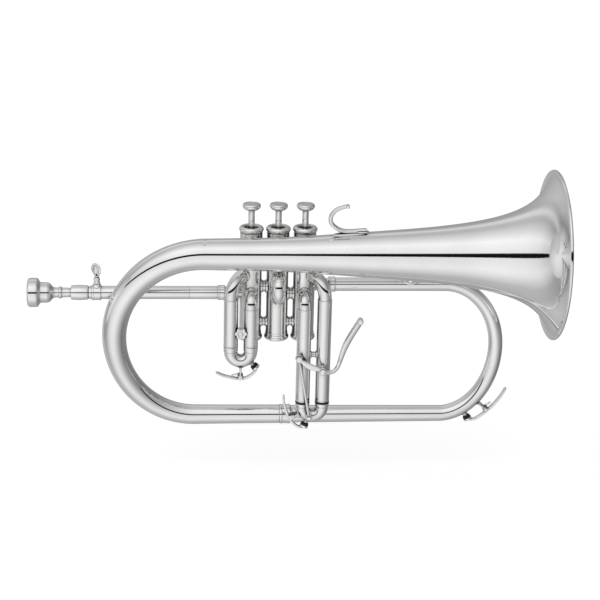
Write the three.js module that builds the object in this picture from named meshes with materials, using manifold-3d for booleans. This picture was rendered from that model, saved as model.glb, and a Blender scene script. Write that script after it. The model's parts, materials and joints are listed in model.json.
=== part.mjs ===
// A B-flat flugelhorn with three piston valves, a sliding mouthpipe and a trigger on its third slide.
// Millimetres. +Z is up, towards the finger buttons, +X runs to the bell mouth, and +Y is the
// player's left. The origin is on the second valve's axis, level with the leadpipe's centre line.

import * as THREE from 'three';
import { mergeVertices } from 'three/addons/utils/BufferGeometryUtils.js';
import Module from 'manifold-3d';

const wasm = await Module();
wasm.setup();

// ------------------------------------------------------------------ driving dimensions

const GAP = 0.3; // clearance between pieces that are soldered, screwed or pressed together
const QUARTER = Math.PI / 2;
const CASING_SIDES = 18; // facets round each valve
const BOW_SIDES = 16; // facets round the main bow and the lower branch

const BELL = { mouthX: 245.3, mouthRadius: 76, tailX: -65.5, y: -29, z: 45.6, wall: 0.8 };
const FLARE = { start: 13, power: 0.497, length: 140, cone: 0.0724, coneEnd: 240, tail: 0.0164 };
const BEAD_RADIUS = 1.6; // the wire rolled into the bell rim

const BOW = { joinX: -65.8, middleZ: -37.8, bottomX: -74, bottomZ: -119.5, reach: 81 };
const FERRULE_LEFT = 4; // ends of the ring between the main bow and the lower branch
const FERRULE_RIGHT = 14.3;

const BRANCH = { z: 8.05, bendX: 153.1, reach: 50.2, middleZ: -52.9, radius: 6.2, wall: 0.6 };
const SEAT_ANGLE = 50 * Math.PI / 180; // how far round the lower bend the main water key stands

const VALVE = { pitch: 24.1, casing: 9.85, bore: 8.6, piston: 8.3, neck: 9.2, stem: 2.6 };
const CAP = { bore: 9.5, bottomZ: -44.6, skirtZ: 52, rimZ: 61.8, rim: 11.3 };
const PISTON_BOTTOM = -14;
const PISTON_TOP = 50;
const POCKET_DEPTH = 10; // the spring's pocket, up from the piston's bottom
const HEAD_DEPTH = 22; // the hollow head, down from its top
const SPRING_SEAT = -42.2;
const BUTTON = { underZ: 79, topZ: 83.9, radius: 8.25 };

const LEADPIPE_RADIUS = 6;
const PIPE_RADIUS = 5.2; // the mouthpipe that slides in the leadpipe sleeve
const PIPE_BORE = 4.6;

const SLIDE = { y: -18.5, spacing: 18, sleeve: 6.5, tube: 6, bore: 5.5, leg: 5.2, legBore: 4.7 };
const SLIDE_1_BOTTOM = -44.5; // lower ends of the slide sleeves
const SLIDE_3_BOTTOM = -98;
const KNUCKLE_Z = 19; // height of the outer slide ports
const ELBOW_Z = 1.5; // height of the inner slide ports

const LEVER_Y = -30.5; // the plane in which the third slide's trigger swings
const ROD_Y = -27.2; // the plane of its link rod
const TRIGGER_PIVOT = [41, -65];
const TRIGGER_ARM_END = [19.5, -53.5];
const CROOK_LUG = [29.9, -111.8];

// ------------------------------------------------------------------ materials

const finish = (color, roughness, metalness) =>
  new THREE.MeshStandardMaterial({ color, roughness, metalness, flatShading: true });

const silver = finish(0xd9dbdd, 0.14, 1);
const nickel = finish(0xbfc1c2, 0.3, 1);
const steel = finish(0x8f9193, 0.35, 1);
const rubber = finish(0x161616, 0.7, 0);

// ------------------------------------------------------------------ geometry helpers

const point = (x, y, z) => new THREE.Vector3(x, y, z);
const line = (from, to) => new THREE.LineCurve3(from, to);

// Part of an ellipse: starts at centre + from and turns towards centre + to.
class Arc extends THREE.Curve {
  constructor(centre, from, to, angle = QUARTER) {
    super();
    this.centre = centre;
    this.from = from;
    this.to = to;
    this.angle = angle;
    this.steps = Math.ceil(angle / (Math.PI / 10));
  }

  getPoint(t, target = point(0, 0, 0)) {
    return target
      .copy(this.centre)
      .addScaledVector(this.from, Math.cos(t * this.angle))
      .addScaledVector(this.to, Math.sin(t * this.angle));
  }
}

// Merges shared corners, drops flat slivers and turns the faces outwards.
function closed(geometry) {
  geometry.deleteAttribute('normal');
  geometry.deleteAttribute('uv');
  const merged = mergeVertices(geometry, 1e-4);
  const index = merged.index.array;
  const corner = [point(0, 0, 0), point(0, 0, 0), point(0, 0, 0)];
  const faces = [];
  let volume = 0;
  for (let i = 0; i < index.length; i += 3) {
    const [a, b, c] = [index[i], index[i + 1], index[i + 2]];
    if (a === b || b === c || c === a) continue;
    [a, b, c].forEach((vertex, k) => corner[k].fromBufferAttribute(merged.attributes.position, vertex));
    volume += corner[0].dot(corner[1].clone().cross(corner[2]));
    faces.push([a, b, c]);
  }
  merged.setIndex(faces.flatMap(([a, b, c]) => (volume > 0 ? [a, b, c] : [a, c, b])));
  return merged;
}

function toSolid(geometry) {
  const vertProperties = new Float32Array(geometry.attributes.position.array);
  const triVerts = new Uint32Array(geometry.index.array);
  return new wasm.Manifold(new wasm.Mesh({ numProp: 3, vertProperties, triVerts }));
}

function fromSolid(solid) {
  const mesh = solid.getMesh();
  const geometry = new THREE.BufferGeometry();
  geometry.setAttribute('position', new THREE.BufferAttribute(new Float32Array(mesh.vertProperties), 3));
  geometry.setIndex([...mesh.triVerts]);
  return geometry;
}

const join = (...shapes) => fromSolid(shapes.map(toSolid).reduce((a, b) => a.add(b)));
const cut = (...shapes) => fromSolid(shapes.map(toSolid).reduce((a, b) => a.subtract(b)));
const common = (a, b) => fromSolid(toSolid(a).intersect(toSolid(b)));

// Turns a profile of [radius, height] pairs about the Z axis. A closed profile makes a ring.
function turned(profile, sides = 16) {
  const isRing = profile.every(([radius]) => radius > 0);
  const outline = isRing ? [...profile, profile[0]] : profile;
  const points = outline.map(([radius, height]) => new THREE.Vector2(radius, height));
  return closed(new THREE.LatheGeometry(points, sides).rotateX(QUARTER));
}

// The same about the X axis, from [x, radius] pairs.
const turnedAlongX = (profile, sides = 16) =>
  turned(profile.map(([x, radius]) => [radius, x]), sides).rotateY(QUARTER);

// The vector square to the plane that a row of curves lies in.
function planeNormal(curves) {
  const first = curves[0].getTangentAt(0);
  for (const curve of curves) {
    const normal = first.clone().cross(curve.getTangentAt(0.5));
    if (normal.length() > 0.01) return normal.normalize();
  }
  const helper = Math.abs(first.y) < 0.9 ? point(0, 1, 0) : point(1, 0, 0);
  return helper.cross(first).normalize();
}

// Rings of corners round a row of curves. The profile lists [distance, radius] pairs along them;
// two pairs at one distance make a step.
function ringsAlong(curves, profile, sides) {
  const across = planeNormal(curves);
  const stops = [];
  let start = 0;
  const spans = curves.map((curve) => {
    const span = { curve, start, length: curve.getLength() };
    const steps = curve.steps ?? 1;
    for (let i = 0; i <= steps; i++) stops.push(start + (span.length * i) / steps);
    start += span.length;
    return span;
  });
  const places = [];
  for (let i = 1; i < profile.length; i++) {
    const [near, nearRadius] = profile[i - 1];
    const [far, farRadius] = profile[i];
    places.push([near, nearRadius]);
    const slope = far > near ? (farRadius - nearRadius) / (far - near) : 0;
    for (const stop of stops) {
      const isNew = stop > places.at(-1)[0] + 0.01 && stop < far - 0.01;
      if (isNew) places.push([stop, nearRadius + slope * (stop - near)]);
    }
  }
  places.push(profile.at(-1));
  return places.map(([distance, radius]) => {
    const span = spans.findLast((s) => s.start <= distance + 1e-6) ?? spans[0];
    const u = THREE.MathUtils.clamp((distance - span.start) / span.length, 0, 1);
    const centre = span.curve.getPointAt(u);
    const side = across.clone().cross(span.curve.getTangentAt(u)).normalize();
    return Array.from({ length: sides }, (_, k) => {
      const angle = (2 * Math.PI * k) / sides;
      return centre.clone()
        .addScaledVector(side, radius * Math.cos(angle))
        .addScaledVector(across, radius * Math.sin(angle));
    });
  });
}

// Skins a row of rings into a closed body; the last ring joins back to the first.
function skinned(rings) {
  const sides = rings[0].length;
  const index = [];
  rings.forEach((_, i) => {
    const here = i * sides;
    const next = ((i + 1) % rings.length) * sides;
    for (let k = 0; k < sides; k++) {
      const k2 = (k + 1) % sides;
      index.push(here + k, next + k, next + k2, here + k, next + k2, here + k2);
    }
  });
  const geometry = new THREE.BufferGeometry().setFromPoints(rings.flat());
  geometry.setIndex(index);
  return closed(geometry);
}

const pathLength = (curves) => curves.reduce((sum, curve) => sum + curve.getLength(), 0);

// A hollow tube along a row of curves; outside and bore list [distance, radius] pairs.
const tube = (curves, outside, bore, sides = 12) =>
  skinned([...ringsAlong(curves, outside, sides), ...ringsAlong(curves, bore, sides).reverse()]);

// A solid bar along a row of curves.
function bar(curves, outside, sides = 10) {
  const rings = ringsAlong(curves, [[0, 0], ...outside, [outside.at(-1)[0], 0]], sides);
  return skinned(rings);
}

// A straight round bar between two points.
function rod(from, to, radius, sides = 10) {
  const length = from.distanceTo(to);
  return bar([line(from, to)], [[0, radius], [length, radius]], sides);
}

// A strap bent along a smooth line of [x, z] points, with its width along Y about middleY.
function strap(outline, thickness, width, middleY = 0) {
  const curve = new THREE.SplineCurve(outline.map(([x, z]) => new THREE.Vector2(x, z)));
  const steps = (outline.length - 1) * 3;
  const edge = (side) => curve.getSpacedPoints(steps).map((at, i) => {
    const along = curve.getTangentAt(i / steps);
    return new THREE.Vector2(at.x - side * along.y, at.y + side * along.x);
  });
  const shape = new THREE.Shape([...edge(thickness / 2), ...edge(-thickness / 2).reverse()]);
  const body = new THREE.ExtrudeGeometry(shape, { depth: width, bevelEnabled: false });
  return closed(body.rotateX(QUARTER).translate(0, middleY + width / 2, 0));
}

// ------------------------------------------------------------------ the assembly

const horn = new THREE.Group();

function piece(name, geometry, material, parent = horn) {
  const mesh = new THREE.Mesh(geometry, material);
  mesh.name = name;
  parent.add(mesh);
  return mesh;
}

// A bar as wide as a valve casing, used to fit tubes to the casing at x.
const casingShape = (x) => rod(point(x, 0, -60), point(x, 0, 70), VALVE.casing + GAP, CASING_SIDES);

// ------------------------------------------------------------------ bell, bows and branches

// Outside radius of the bell: a power-law flare at the mouth, then a cone, then a gentler tail.
function bellRadius(x) {
  const depth = BELL.mouthX - x;
  const flare = (d) => BELL.mouthRadius * (FLARE.start / (FLARE.start + d)) ** FLARE.power;
  const inFlare = Math.min(depth, FLARE.length);
  const inCone = THREE.MathUtils.clamp(depth - FLARE.length, 0, FLARE.coneEnd - FLARE.length);
  const inTail = Math.max(depth - FLARE.coneEnd, 0);
  return flare(inFlare) - FLARE.cone * inCone - FLARE.tail * inTail;
}

// Points down the bell from near the mouth to the tail, closest together where it flares most.
function bellLine(firstDepth, offset) {
  const length = BELL.mouthX - BELL.tailX;
  const count = 14;
  return Array.from({ length: count }, (_, i) => {
    const depth = firstDepth + (length - firstDepth) * (i / (count - 1)) ** 2;
    const x = BELL.mouthX - depth;
    const slope = (bellRadius(x + 0.1) - bellRadius(x - 0.1)) / 0.2;
    const scale = i < count - 1 ? offset / Math.hypot(1, slope) : 0;
    const radius = bellRadius(x) - (i < count - 1 ? scale : offset);
    return [x + scale * slope, radius];
  });
}

function bellGeometry() {
  const beadX = BELL.mouthX - BEAD_RADIUS;
  const beadCentre = BELL.mouthRadius - BEAD_RADIUS;
  const bead = [200, 150, 100, 60, 30].map((degrees) => {
    const angle = degrees * Math.PI / 180;
    return [beadX + BEAD_RADIUS * Math.cos(angle), beadCentre + BEAD_RADIUS * Math.sin(angle)];
  });
  const rimFace = [[BELL.mouthX, beadCentre + 0.5], [BELL.mouthX, beadCentre - 0.8]];
  const outside = bellLine(3.2, 0).reverse();
  return turnedAlongX([...outside, ...bead, ...rimFace, ...bellLine(1.8, BELL.wall)], 24);
}

// A solid of the bell's outside shape, grown by extra, in the horn's own place.
function bellShape(extra) {
  const outside = bellLine(20, -extra);
  const ends = [[outside.at(-1)[0], 0], [outside[0][0], 0]];
  const body = turnedAlongX([ends[1], ...outside, ends[0]], 24);
  return body.translate(0, BELL.y, BELL.z);
}

function mainBowCurves() {
  const middleY = BELL.y * (BOW.middleZ - BOW.bottomZ) / (BELL.z - BOW.bottomZ);
  const upperCentre = point(BOW.joinX, middleY, BOW.middleZ);
  const lowerCentre = point(BOW.bottomX, middleY, BOW.middleZ);
  const apexX = BOW.joinX - BOW.reach;
  return [
    new Arc(upperCentre, point(0, BELL.y - middleY, BELL.z - BOW.middleZ), point(-BOW.reach, 0, 0)),
    new Arc(lowerCentre, point(apexX - BOW.bottomX, 0, 0), point(0, -middleY, BOW.bottomZ - BOW.middleZ)),
    line(point(BOW.bottomX, 0, BOW.bottomZ), point(FERRULE_LEFT - GAP, 0, BOW.bottomZ)),
  ];
}

function profileAt(curves, radii, change = 0) {
  let distance = 0;
  const pairs = [[0, radii[0] + change]];
  curves.forEach((curve, i) => {
    distance += curve.getLength();
    pairs.push([distance, radii[i + 1] + change]);
  });
  return pairs;
}

const MAIN_BOW_RADII = [13.85, 10.8, 9.1, 8.6];
const mainBow = mainBowCurves();

const mainBowGeometry = () =>
  tube(mainBow, profileAt(mainBow, MAIN_BOW_RADII), profileAt(mainBow, MAIN_BOW_RADII, -0.7), BOW_SIDES);

const mainBowShape = () => bar(mainBow, profileAt(mainBow, MAIN_BOW_RADII, GAP), BOW_SIDES);

const bowFerruleGeometry = () => turnedAlongX([
  [FERRULE_LEFT, 7.8], [FERRULE_LEFT, 8.8], [FERRULE_LEFT + 0.8, 9.15], [FERRULE_LEFT + 2.2, 9.15],
  [FERRULE_LEFT + 2.8, 8.9], [FERRULE_RIGHT - 2.8, 8.9], [FERRULE_RIGHT - 2.2, 9.15],
  [FERRULE_RIGHT - 0.8, 9.15], [FERRULE_RIGHT, 8.7], [FERRULE_RIGHT, 7.8],
]);

const BRANCH_RADII = [BRANCH.radius, BRANCH.radius, 6.55, 7.4, 8.2];
const BRANCH_START = 49.2;

function branchCurves() {
  const middle = point(BRANCH.bendX, 0, BRANCH.middleZ);
  const start = point(BRANCH_START, 0, BRANCH.z);
  const bendStart = point(BRANCH.bendX, 0, BRANCH.z);
  const bendEnd = point(BRANCH.bendX, 0, BOW.bottomZ);
  return [
    line(start, bendStart),
    new Arc(middle, point(0, 0, BRANCH.z - BRANCH.middleZ), point(BRANCH.reach, 0, 0)),
    new Arc(middle, point(BRANCH.reach, 0, 0), point(0, 0, BOW.bottomZ - BRANCH.middleZ)),
    line(bendEnd, point(FERRULE_RIGHT + GAP, 0, BOW.bottomZ)),
  ];
}

// ------------------------------------------------------------------ water keys

// Each key is drawn in its own frame: the tube's centre line under the pivot is the origin, X runs
// towards the cork and Z points away from the tube.
const CROOK_KEY = {
  pivot: 14.6, tube: SLIDE.tube, seat: [0, -SLIDE.spacing / 2], tilt: 42, reach: SLIDE.spacing / 2,
  lever: [[-23, 11.2], [-15, 14.2], [-7, 16.2], [0, 15.2]],
};
const SIDE_KEY = { ...CROOK_KEY, pivot: 10.6, lever: [[-23.5, 8.2], [-15, 9], [-7, 10.8], [0, 10.6]] };
const BRANCH_KEY = {
  pivot: 16.2, tube: 6.9, seat: [14.4, -2], tilt: 16.3, reach: 1,
  lever: [[-28, 15.9], [-20, 17.4], [-9, 17.9], [0, 16.6]],
};
const KEY = { nipple: 2.2, cork: 3.2, corkRadius: 3.5, cup: 1.2, pin: 0.8, barrel: 2, cheek: 1 };
const KEY_HALF_WIDTH = 3.2;

// The point at a distance from the tube's surface, along the cork's own axis.
function corkPoint(key, distance) {
  const tilt = THREE.MathUtils.degToRad(key.tilt);
  const out = key.reach + key.tube + distance;
  return point(key.seat[0] + out * Math.sin(tilt), 0, key.seat[1] + out * Math.cos(tilt));
}

function corkGeometry(key) {
  const near = KEY.nipple + GAP;
  return rod(corkPoint(key, near), corkPoint(key, near + KEY.cork), KEY.corkRadius);
}

function leverGeometry(key) {
  const cupStart = KEY.nipple + KEY.cork + 2 * GAP;
  const cupEnd = corkPoint(key, cupStart + KEY.cup);
  const barrelHalf = KEY_HALF_WIDTH - GAP;
  const pivot = (y) => point(0, y, key.pivot);
  const armLine = [[0, key.pivot + 0.6], [0.55 * cupEnd.x, key.pivot - 0.2], [cupEnd.x, cupEnd.z - 0.4]];
  const arm = strap(armLine, 1.6, 3.4);
  const body = join(
    strap(key.lever, 1.5, 5.2),
    arm,
    rod(pivot(-barrelHalf), pivot(barrelHalf), KEY.barrel),
    rod(corkPoint(key, cupStart), cupEnd, KEY.corkRadius + 0.4),
  );
  const corkRoom = rod(corkPoint(key, -1), corkPoint(key, cupStart), KEY.corkRadius + 0.8);
  return cut(body, rod(pivot(-5), pivot(5), KEY.pin + GAP, 8), corkRoom);
}

// Saddle cheeks, pivot pin and cork nipple, all soldered to the tube.
function keySeatGeometry(key) {
  const cheek = (y) => {
    const foot = key.tube - 1.8;
    const shape = new THREE.Shape([[-5, foot], [5, foot], [1.9, key.pivot + 1.2], [-1.9, key.pivot + 1.2]]
      .map(([x, z]) => new THREE.Vector2(x, z)));
    const plate = new THREE.ExtrudeGeometry(shape, { depth: KEY.cheek, bevelEnabled: false });
    return closed(plate.rotateX(QUARTER).translate(0, y + KEY.cheek / 2, 0));
  };
  const cheekY = KEY_HALF_WIDTH + KEY.cheek / 2;
  const pinEnd = KEY_HALF_WIDTH + KEY.cheek + 0.5;
  return [
    cheek(-cheekY),
    cheek(cheekY),
    rod(point(0, -pinEnd, key.pivot), point(0, pinEnd, key.pivot), KEY.pin, 8),
    rod(corkPoint(key, -1.2), corkPoint(key, KEY.nipple), 2.2),
  ];
}

// Stands a key's frame at a place on a tube, with its outward and along directions.
function keyFrame(origin, outward, along) {
  const side = outward.clone().cross(along);
  return new THREE.Matrix4().makeBasis(along, side, outward).setPosition(origin);
}

const withSeat = (body, key, frame) =>
  join(body, ...keySeatGeometry(key).map((shape) => shape.applyMatrix4(frame)));

function waterKey(key, frame, leverName, corkName) {
  const group = new THREE.Group();
  group.applyMatrix4(frame);
  horn.add(group);
  piece(leverName, leverGeometry(key), silver, group);
  piece(corkName, corkGeometry(key), rubber, group);
}

// The main key stands on the lower bend, square to its ellipse.
function branchKeyFrame() {
  const drop = BRANCH.middleZ - BOW.bottomZ;
  const [c, s] = [Math.cos(SEAT_ANGLE), Math.sin(SEAT_ANGLE)];
  const origin = point(BRANCH.bendX + BRANCH.reach * c, 0, BRANCH.middleZ - drop * s);
  const outward = point(c / BRANCH.reach, 0, -s / drop).normalize();
  return keyFrame(origin, outward, point(outward.z, 0, -outward.x));
}

function addBellAndBranches() {
  const bell = piece('bell', bellGeometry(), silver);
  bell.position.set(0, BELL.y, BELL.z);
  piece('main_bow', mainBowGeometry(), silver);
  piece('bow_ferrule', bowFerruleGeometry(), silver).position.z = BOW.bottomZ;
  const branch = branchCurves();
  const outside = profileAt(branch, BRANCH_RADII);
  const pipe = tube(branch, outside, profileAt(branch, BRANCH_RADII, -BRANCH.wall), BOW_SIDES);
  const frame = branchKeyFrame();
  piece('lower_branch', withSeat(pipe, BRANCH_KEY, frame), silver);
  waterKey(BRANCH_KEY, frame, 'main_water_key', 'main_water_key_cork');
}

// ------------------------------------------------------------------ mouthpiece and leadpipe

const mouthpieceGeometry = () => turnedAlongX([
  [-224.2, 9.7], [-224.2, 11.8], [-223.3, 13], [-221.5, 13.2], [-217, 13.2], [-215, 12.4],
  [-212.5, 9.05], [-206, 9.05], [-204, 7.8], [-201.5, 4.7], [-196.6, 4.7], [-195.8, 5.5],
  [-194.2, 5.5], [-193.4, 4.6], [-190, 4.35], [-168, 3.9], [-168, 3.3], [-198, 1.95], [-203, 1.95],
  [-208, 4], [-216, 7.2], [-222, 8.7],
]);

const mouthpipeGeometry = () => turnedAlongX([
  [-185.5, 4.8], [-185.5, 6.2], [-184.6, 6.5], [-178, 6.95], [-171.4, 6.55], [-170, 6.2],
  [-170, PIPE_RADIUS], [-62, PIPE_RADIUS], [-62, PIPE_BORE], [-168, PIPE_BORE],
], 16);

const SLEEVE_START = -169.5;
const SLEEVE_END = -50.6;

function leadpipeSleeveGeometry() {
  const path = [line(point(SLEEVE_START, 0, 0), point(SLEEVE_END, 0, 0))];
  const length = pathLength(path);
  return tube(path, [[0, LEADPIPE_RADIUS], [length, LEADPIPE_RADIUS]], [[0, 5.5], [length, 5.5]]);
}

// A band over the end of a tube, with the short port that leads on into a valve casing.
function portFerruleGeometry(bandX, valveX, z, tubeRadius, tubeEndX) {
  const path = [line(point(bandX, 0, z), point(valveX, 0, z))];
  const length = pathLength(path);
  const band = tubeRadius + 0.9;
  const depth = Math.abs(tubeEndX - bandX) + GAP;
  const outside = [[0, band - 0.4], [1, band], [5.4, band], [6.4, band - 0.5], [6.4, 5.6], [length, 5.6]];
  const bore = [[0, tubeRadius + GAP], [depth, tubeRadius + GAP], [depth, PIPE_BORE], [length, PIPE_BORE]];
  return cut(tube(path, outside, bore, BOW_SIDES), casingShape(valveX));
}

const CLAMP_X = -162.3;

function clampBandGeometry() {
  const ring = turnedAlongX([
    [-166.8, LEADPIPE_RADIUS + GAP], [-166.8, 6.8], [-166, 7.05], [-159.5, 7.05],
    [-158.7, 6.8], [-158.7, LEADPIPE_RADIUS + GAP],
  ]);
  const boss = bar([line(point(CLAMP_X, 0, 5.6), point(CLAMP_X, 0, 14.6))], [[0, 4], [2, 3.6], [9, 2.3]]);
  const bandBore = rod(point(-170, 0, 0), point(-155, 0, 0), LEADPIPE_RADIUS + GAP, 20);
  return cut(join(ring, boss), rod(point(CLAMP_X, 0, 4), point(CLAMP_X, 0, 16), 1.5, 10), bandBore);
}

// Thumb screw: a threaded shank with a flat oval paddle that leans a little towards the mouthpiece.
function clampScrewGeometry() {
  const paddle = new THREE.CylinderGeometry(4.7, 4.7, 2, 16).scale(1, 1, 1.4);
  const shoulder = rod(point(0, 0, 15), point(0, 0, 17.5), 2, 10);
  const leaning = closed(paddle).rotateY(-0.1).translate(-0.4, 0, 21.5);
  return join(rod(point(0, 0, 6.8), point(0, 0, 16), 1.2, 10), shoulder, leaning);
}

function addLeadpipe() {
  piece('mouthpiece', mouthpieceGeometry(), silver);
  piece('mouthpipe', mouthpipeGeometry(), silver);
  piece('leadpipe_sleeve', leadpipeSleeveGeometry(), silver);
  piece('clamp_band', clampBandGeometry(), silver);
  piece('clamp_screw', clampScrewGeometry(), silver).position.x = CLAMP_X;
  const inlet = portFerruleGeometry(-53.6, -VALVE.pitch, 0, LEADPIPE_RADIUS, SLEEVE_END);
  piece('leadpipe_ferrule', inlet, silver);
  const outlet = portFerruleGeometry(52.5, VALVE.pitch, BRANCH.z, BRANCH.radius, BRANCH_START);
  piece('outlet_ferrule', outlet, silver);
}

// ------------------------------------------------------------------ valves

const PORT_12_Z = 6.3; // heights of the tubes that lead from valve to valve
const PORT_23_Z = -0.5;
const STRUT_Z = -27.5;
const SLIDE_2_LOW_Z = 0.5;
const SLIDE_2_HIGH_Z = 20;

// Each port leaves its casing at a height, in a direction seen from above.
const diagonal = Math.atan2(SLIDE.y, SLIDE.spacing);
const PORTS = [
  [[Math.PI, 0], [0, PORT_12_Z], [-QUARTER, ELBOW_Z], [Math.PI - diagonal, KNUCKLE_Z]],
  [[Math.PI, PORT_12_Z], [0, PORT_23_Z], [-QUARTER, SLIDE_2_LOW_Z], [-QUARTER, SLIDE_2_HIGH_Z]],
  [[Math.PI, PORT_23_Z], [0, BRANCH.z], [-QUARTER, ELBOW_Z], [diagonal, KNUCKLE_Z]],
];

function portHole([angle, z]) {
  const reach = (distance) => point(distance * Math.cos(angle), distance * Math.sin(angle), z);
  return rod(reach(5), reach(12), 4.2, 8);
}

function casingGeometry(number) {
  const tubeBody = turned([
    [VALVE.bore, -42], [VALVE.neck, -42], [VALVE.neck, -38.5], [VALVE.casing, -38.5],
    [VALVE.casing, 51.7], [VALVE.neck, 51.7], [VALVE.neck, 57.6], [VALVE.bore, 57.6],
  ], CASING_SIDES);
  const body = number === 2 ? tubeBody : withBellStrut(tubeBody, (number - 2) * VALVE.pitch);
  return cut(body, ...PORTS[number - 1].map(portHole));
}

// The first and third casings reach the bell through a short strut.
function withBellStrut(body, x) {
  const strut = rod(point(0, -9.2, 45), point(0, -19, 45), 2.6);
  return join(body, cut(strut, bellShape(GAP).translate(-x, 0, 0)));
}

const topCapGeometry = () => turned([
  [3.2, 58], [CAP.bore, 58], [CAP.bore, CAP.skirtZ], [10.2, CAP.skirtZ], [10.2, 56.6],
  [CAP.rim - 0.4, 57.6], [CAP.rim, 59], [CAP.rim, 60.2], [CAP.rim - 0.5, 61.4], [10, CAP.rimZ],
  [9.2, CAP.rimZ], [8.6, 60], [3.2, 60],
], CASING_SIDES);

const bottomCapGeometry = () => turned([
  [2, CAP.bottomZ], [9, CAP.bottomZ], [11.25, -43], [11.25, -40.2], [10.2, -38.8], [CAP.bore, -38.8],
  [CAP.bore, -43.2], [2, -43.2],
], CASING_SIDES);

// Piston: two passages through its middle, a pocket below for the spring and a hollow head.
function pistonGeometry() {
  const plug = turned([
    [0, PISTON_BOTTOM + POCKET_DEPTH], [7.2, PISTON_BOTTOM + POCKET_DEPTH], [7.2, PISTON_BOTTOM],
    [VALVE.piston, PISTON_BOTTOM], [VALVE.piston, PISTON_TOP], [7.3, PISTON_TOP],
    [7.3, PISTON_TOP - HEAD_DEPTH], [0, PISTON_TOP - HEAD_DEPTH],
  ], CASING_SIDES);
  const passage = (z) => rod(point(-10, 0, z), point(10, 0, z), 4.2, 8);
  return cut(plug, passage(3), passage(19.5));
}

// Stem on the plug that closes the piston's head.
const stemGeometry = () => turned([
  [0, PISTON_TOP - 3], [7, PISTON_TOP - 3], [7, PISTON_TOP - 0.4], [VALVE.stem, PISTON_TOP - 0.4],
  [VALVE.stem, BUTTON.underZ - GAP], [0, BUTTON.underZ - GAP],
]);

const buttonGeometry = () => turned([
  [0, BUTTON.underZ], [4, BUTTON.underZ], [6.6, BUTTON.underZ + 1.1], [BUTTON.radius, BUTTON.underZ + 3],
  [BUTTON.radius, BUTTON.topZ - 0.5], [7.7, BUTTON.topZ], [6.9, BUTTON.topZ], [6.7, BUTTON.topZ - 1],
  [0, BUTTON.topZ - 1],
]);

class Helix extends THREE.Curve {
  constructor(radius, bottom, top, turns) {
    super();
    Object.assign(this, { radius, bottom, top, turns });
  }

  getPoint(t, target = point(0, 0, 0)) {
    const angle = 2 * Math.PI * this.turns * t;
    const height = this.bottom + (this.top - this.bottom) * t;
    return target.set(this.radius * Math.cos(angle), this.radius * Math.sin(angle), height);
  }
}

function valveSpringGeometry() {
  const wire = new THREE.Shape();
  wire.absarc(0, 0, 0.45, 0, 2 * Math.PI);
  const extrudePath = new Helix(6, SPRING_SEAT, PISTON_BOTTOM + POCKET_DEPTH - 0.8, 6);
  return closed(new THREE.ExtrudeGeometry(wire, { steps: 48, curveSegments: 2, extrudePath }));
}

// A short tube or bar between two neighbouring casings, midway at x.
function casingLinkGeometry(x, z, radius, bore) {
  const path = [line(point(x - 5, 0, z), point(x + 5, 0, z))];
  const body = bore
    ? tube(path, [[0, radius], [10, radius]], [[0, bore], [10, bore]])
    : bar(path, [[0, radius], [10, radius]]);
  return cut(body, casingShape(x - VALVE.pitch / 2), casingShape(x + VALVE.pitch / 2));
}

function addValves() {
  for (const number of [1, 2, 3]) {
    const valve = new THREE.Group();
    valve.position.x = (number - 2) * VALVE.pitch;
    horn.add(valve);
    piece(`valve_casing_${number}`, casingGeometry(number), silver, valve);
    piece(`top_cap_${number}`, topCapGeometry(), silver, valve);
    piece(`bottom_cap_${number}`, bottomCapGeometry(), silver, valve);
    piece(`piston_${number}`, pistonGeometry(), nickel, valve);
    piece(`valve_stem_${number}`, stemGeometry(), silver, valve);
    piece(`finger_button_${number}`, buttonGeometry(), silver, valve);
    piece(`valve_spring_${number}`, valveSpringGeometry(), steel, valve);
  }
  const middle = VALVE.pitch / 2;
  piece('transfer_tube_12', casingLinkGeometry(-middle, PORT_12_Z, 5.2, 4.2), silver);
  piece('transfer_tube_23', casingLinkGeometry(middle, PORT_23_Z, 5.2, 4.2), silver);
  piece('lower_strut_12', casingLinkGeometry(-middle, STRUT_Z, 4), silver);
  piece('lower_strut_23', casingLinkGeometry(middle, STRUT_Z, 4), silver);
}

// ------------------------------------------------------------------ valve slides

// The leg straight in front of its valve: out of the casing, round an elbow and down.
function innerLegGeometry(side, bottom) {
  const x = side * VALVE.pitch;
  const bend = 8;
  const elbowBottom = ELBOW_Z - bend;
  const path = [
    line(point(x, -7, ELBOW_Z), point(x, SLIDE.y + bend, ELBOW_Z)),
    new Arc(point(x, SLIDE.y + bend, elbowBottom), point(0, 0, bend), point(0, -bend, 0)),
    line(point(x, SLIDE.y, elbowBottom), point(x, SLIDE.y, bottom)),
  ];
  return cut(sleeveTube(path, -9, bottom), casingShape(x));
}

// The leg beside its valve: a long knuckle turns down from the casing's front corner.
function outerLegGeometry(side, bottom) {
  const valveX = side * VALVE.pitch;
  const legX = valveX + side * SLIDE.spacing;
  const reach = Math.hypot(SLIDE.spacing, SLIDE.y);
  const away = point(side * SLIDE.spacing / reach, SLIDE.y / reach, 0);
  const bend = 17.5;
  const onWay = (distance) => point(valveX, 0, KNUCKLE_Z).addScaledVector(away, distance);
  const centre = onWay(reach - bend).setZ(KNUCKLE_Z - bend);
  const path = [
    line(onWay(6), onWay(reach - bend)),
    new Arc(centre, point(0, 0, bend), away.clone().multiplyScalar(bend)),
    line(point(legX, SLIDE.y, KNUCKLE_Z - bend), point(legX, SLIDE.y, bottom)),
  ];
  return cut(sleeveTube(path, 0, bottom), casingShape(valveX));
}

// A bent tube whose last straight stretch, below sleeveTop, is the wider slide sleeve.
function sleeveTube(path, sleeveTop, bottom) {
  const length = pathLength(path);
  const step = length - (sleeveTop - bottom);
  const outside = [
    [0, SLIDE.tube], [step, SLIDE.tube], [step, SLIDE.sleeve], [length, SLIDE.sleeve],
  ];
  return tube(path, outside, [[0, SLIDE.bore], [length, SLIDE.bore]]);
}

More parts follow.
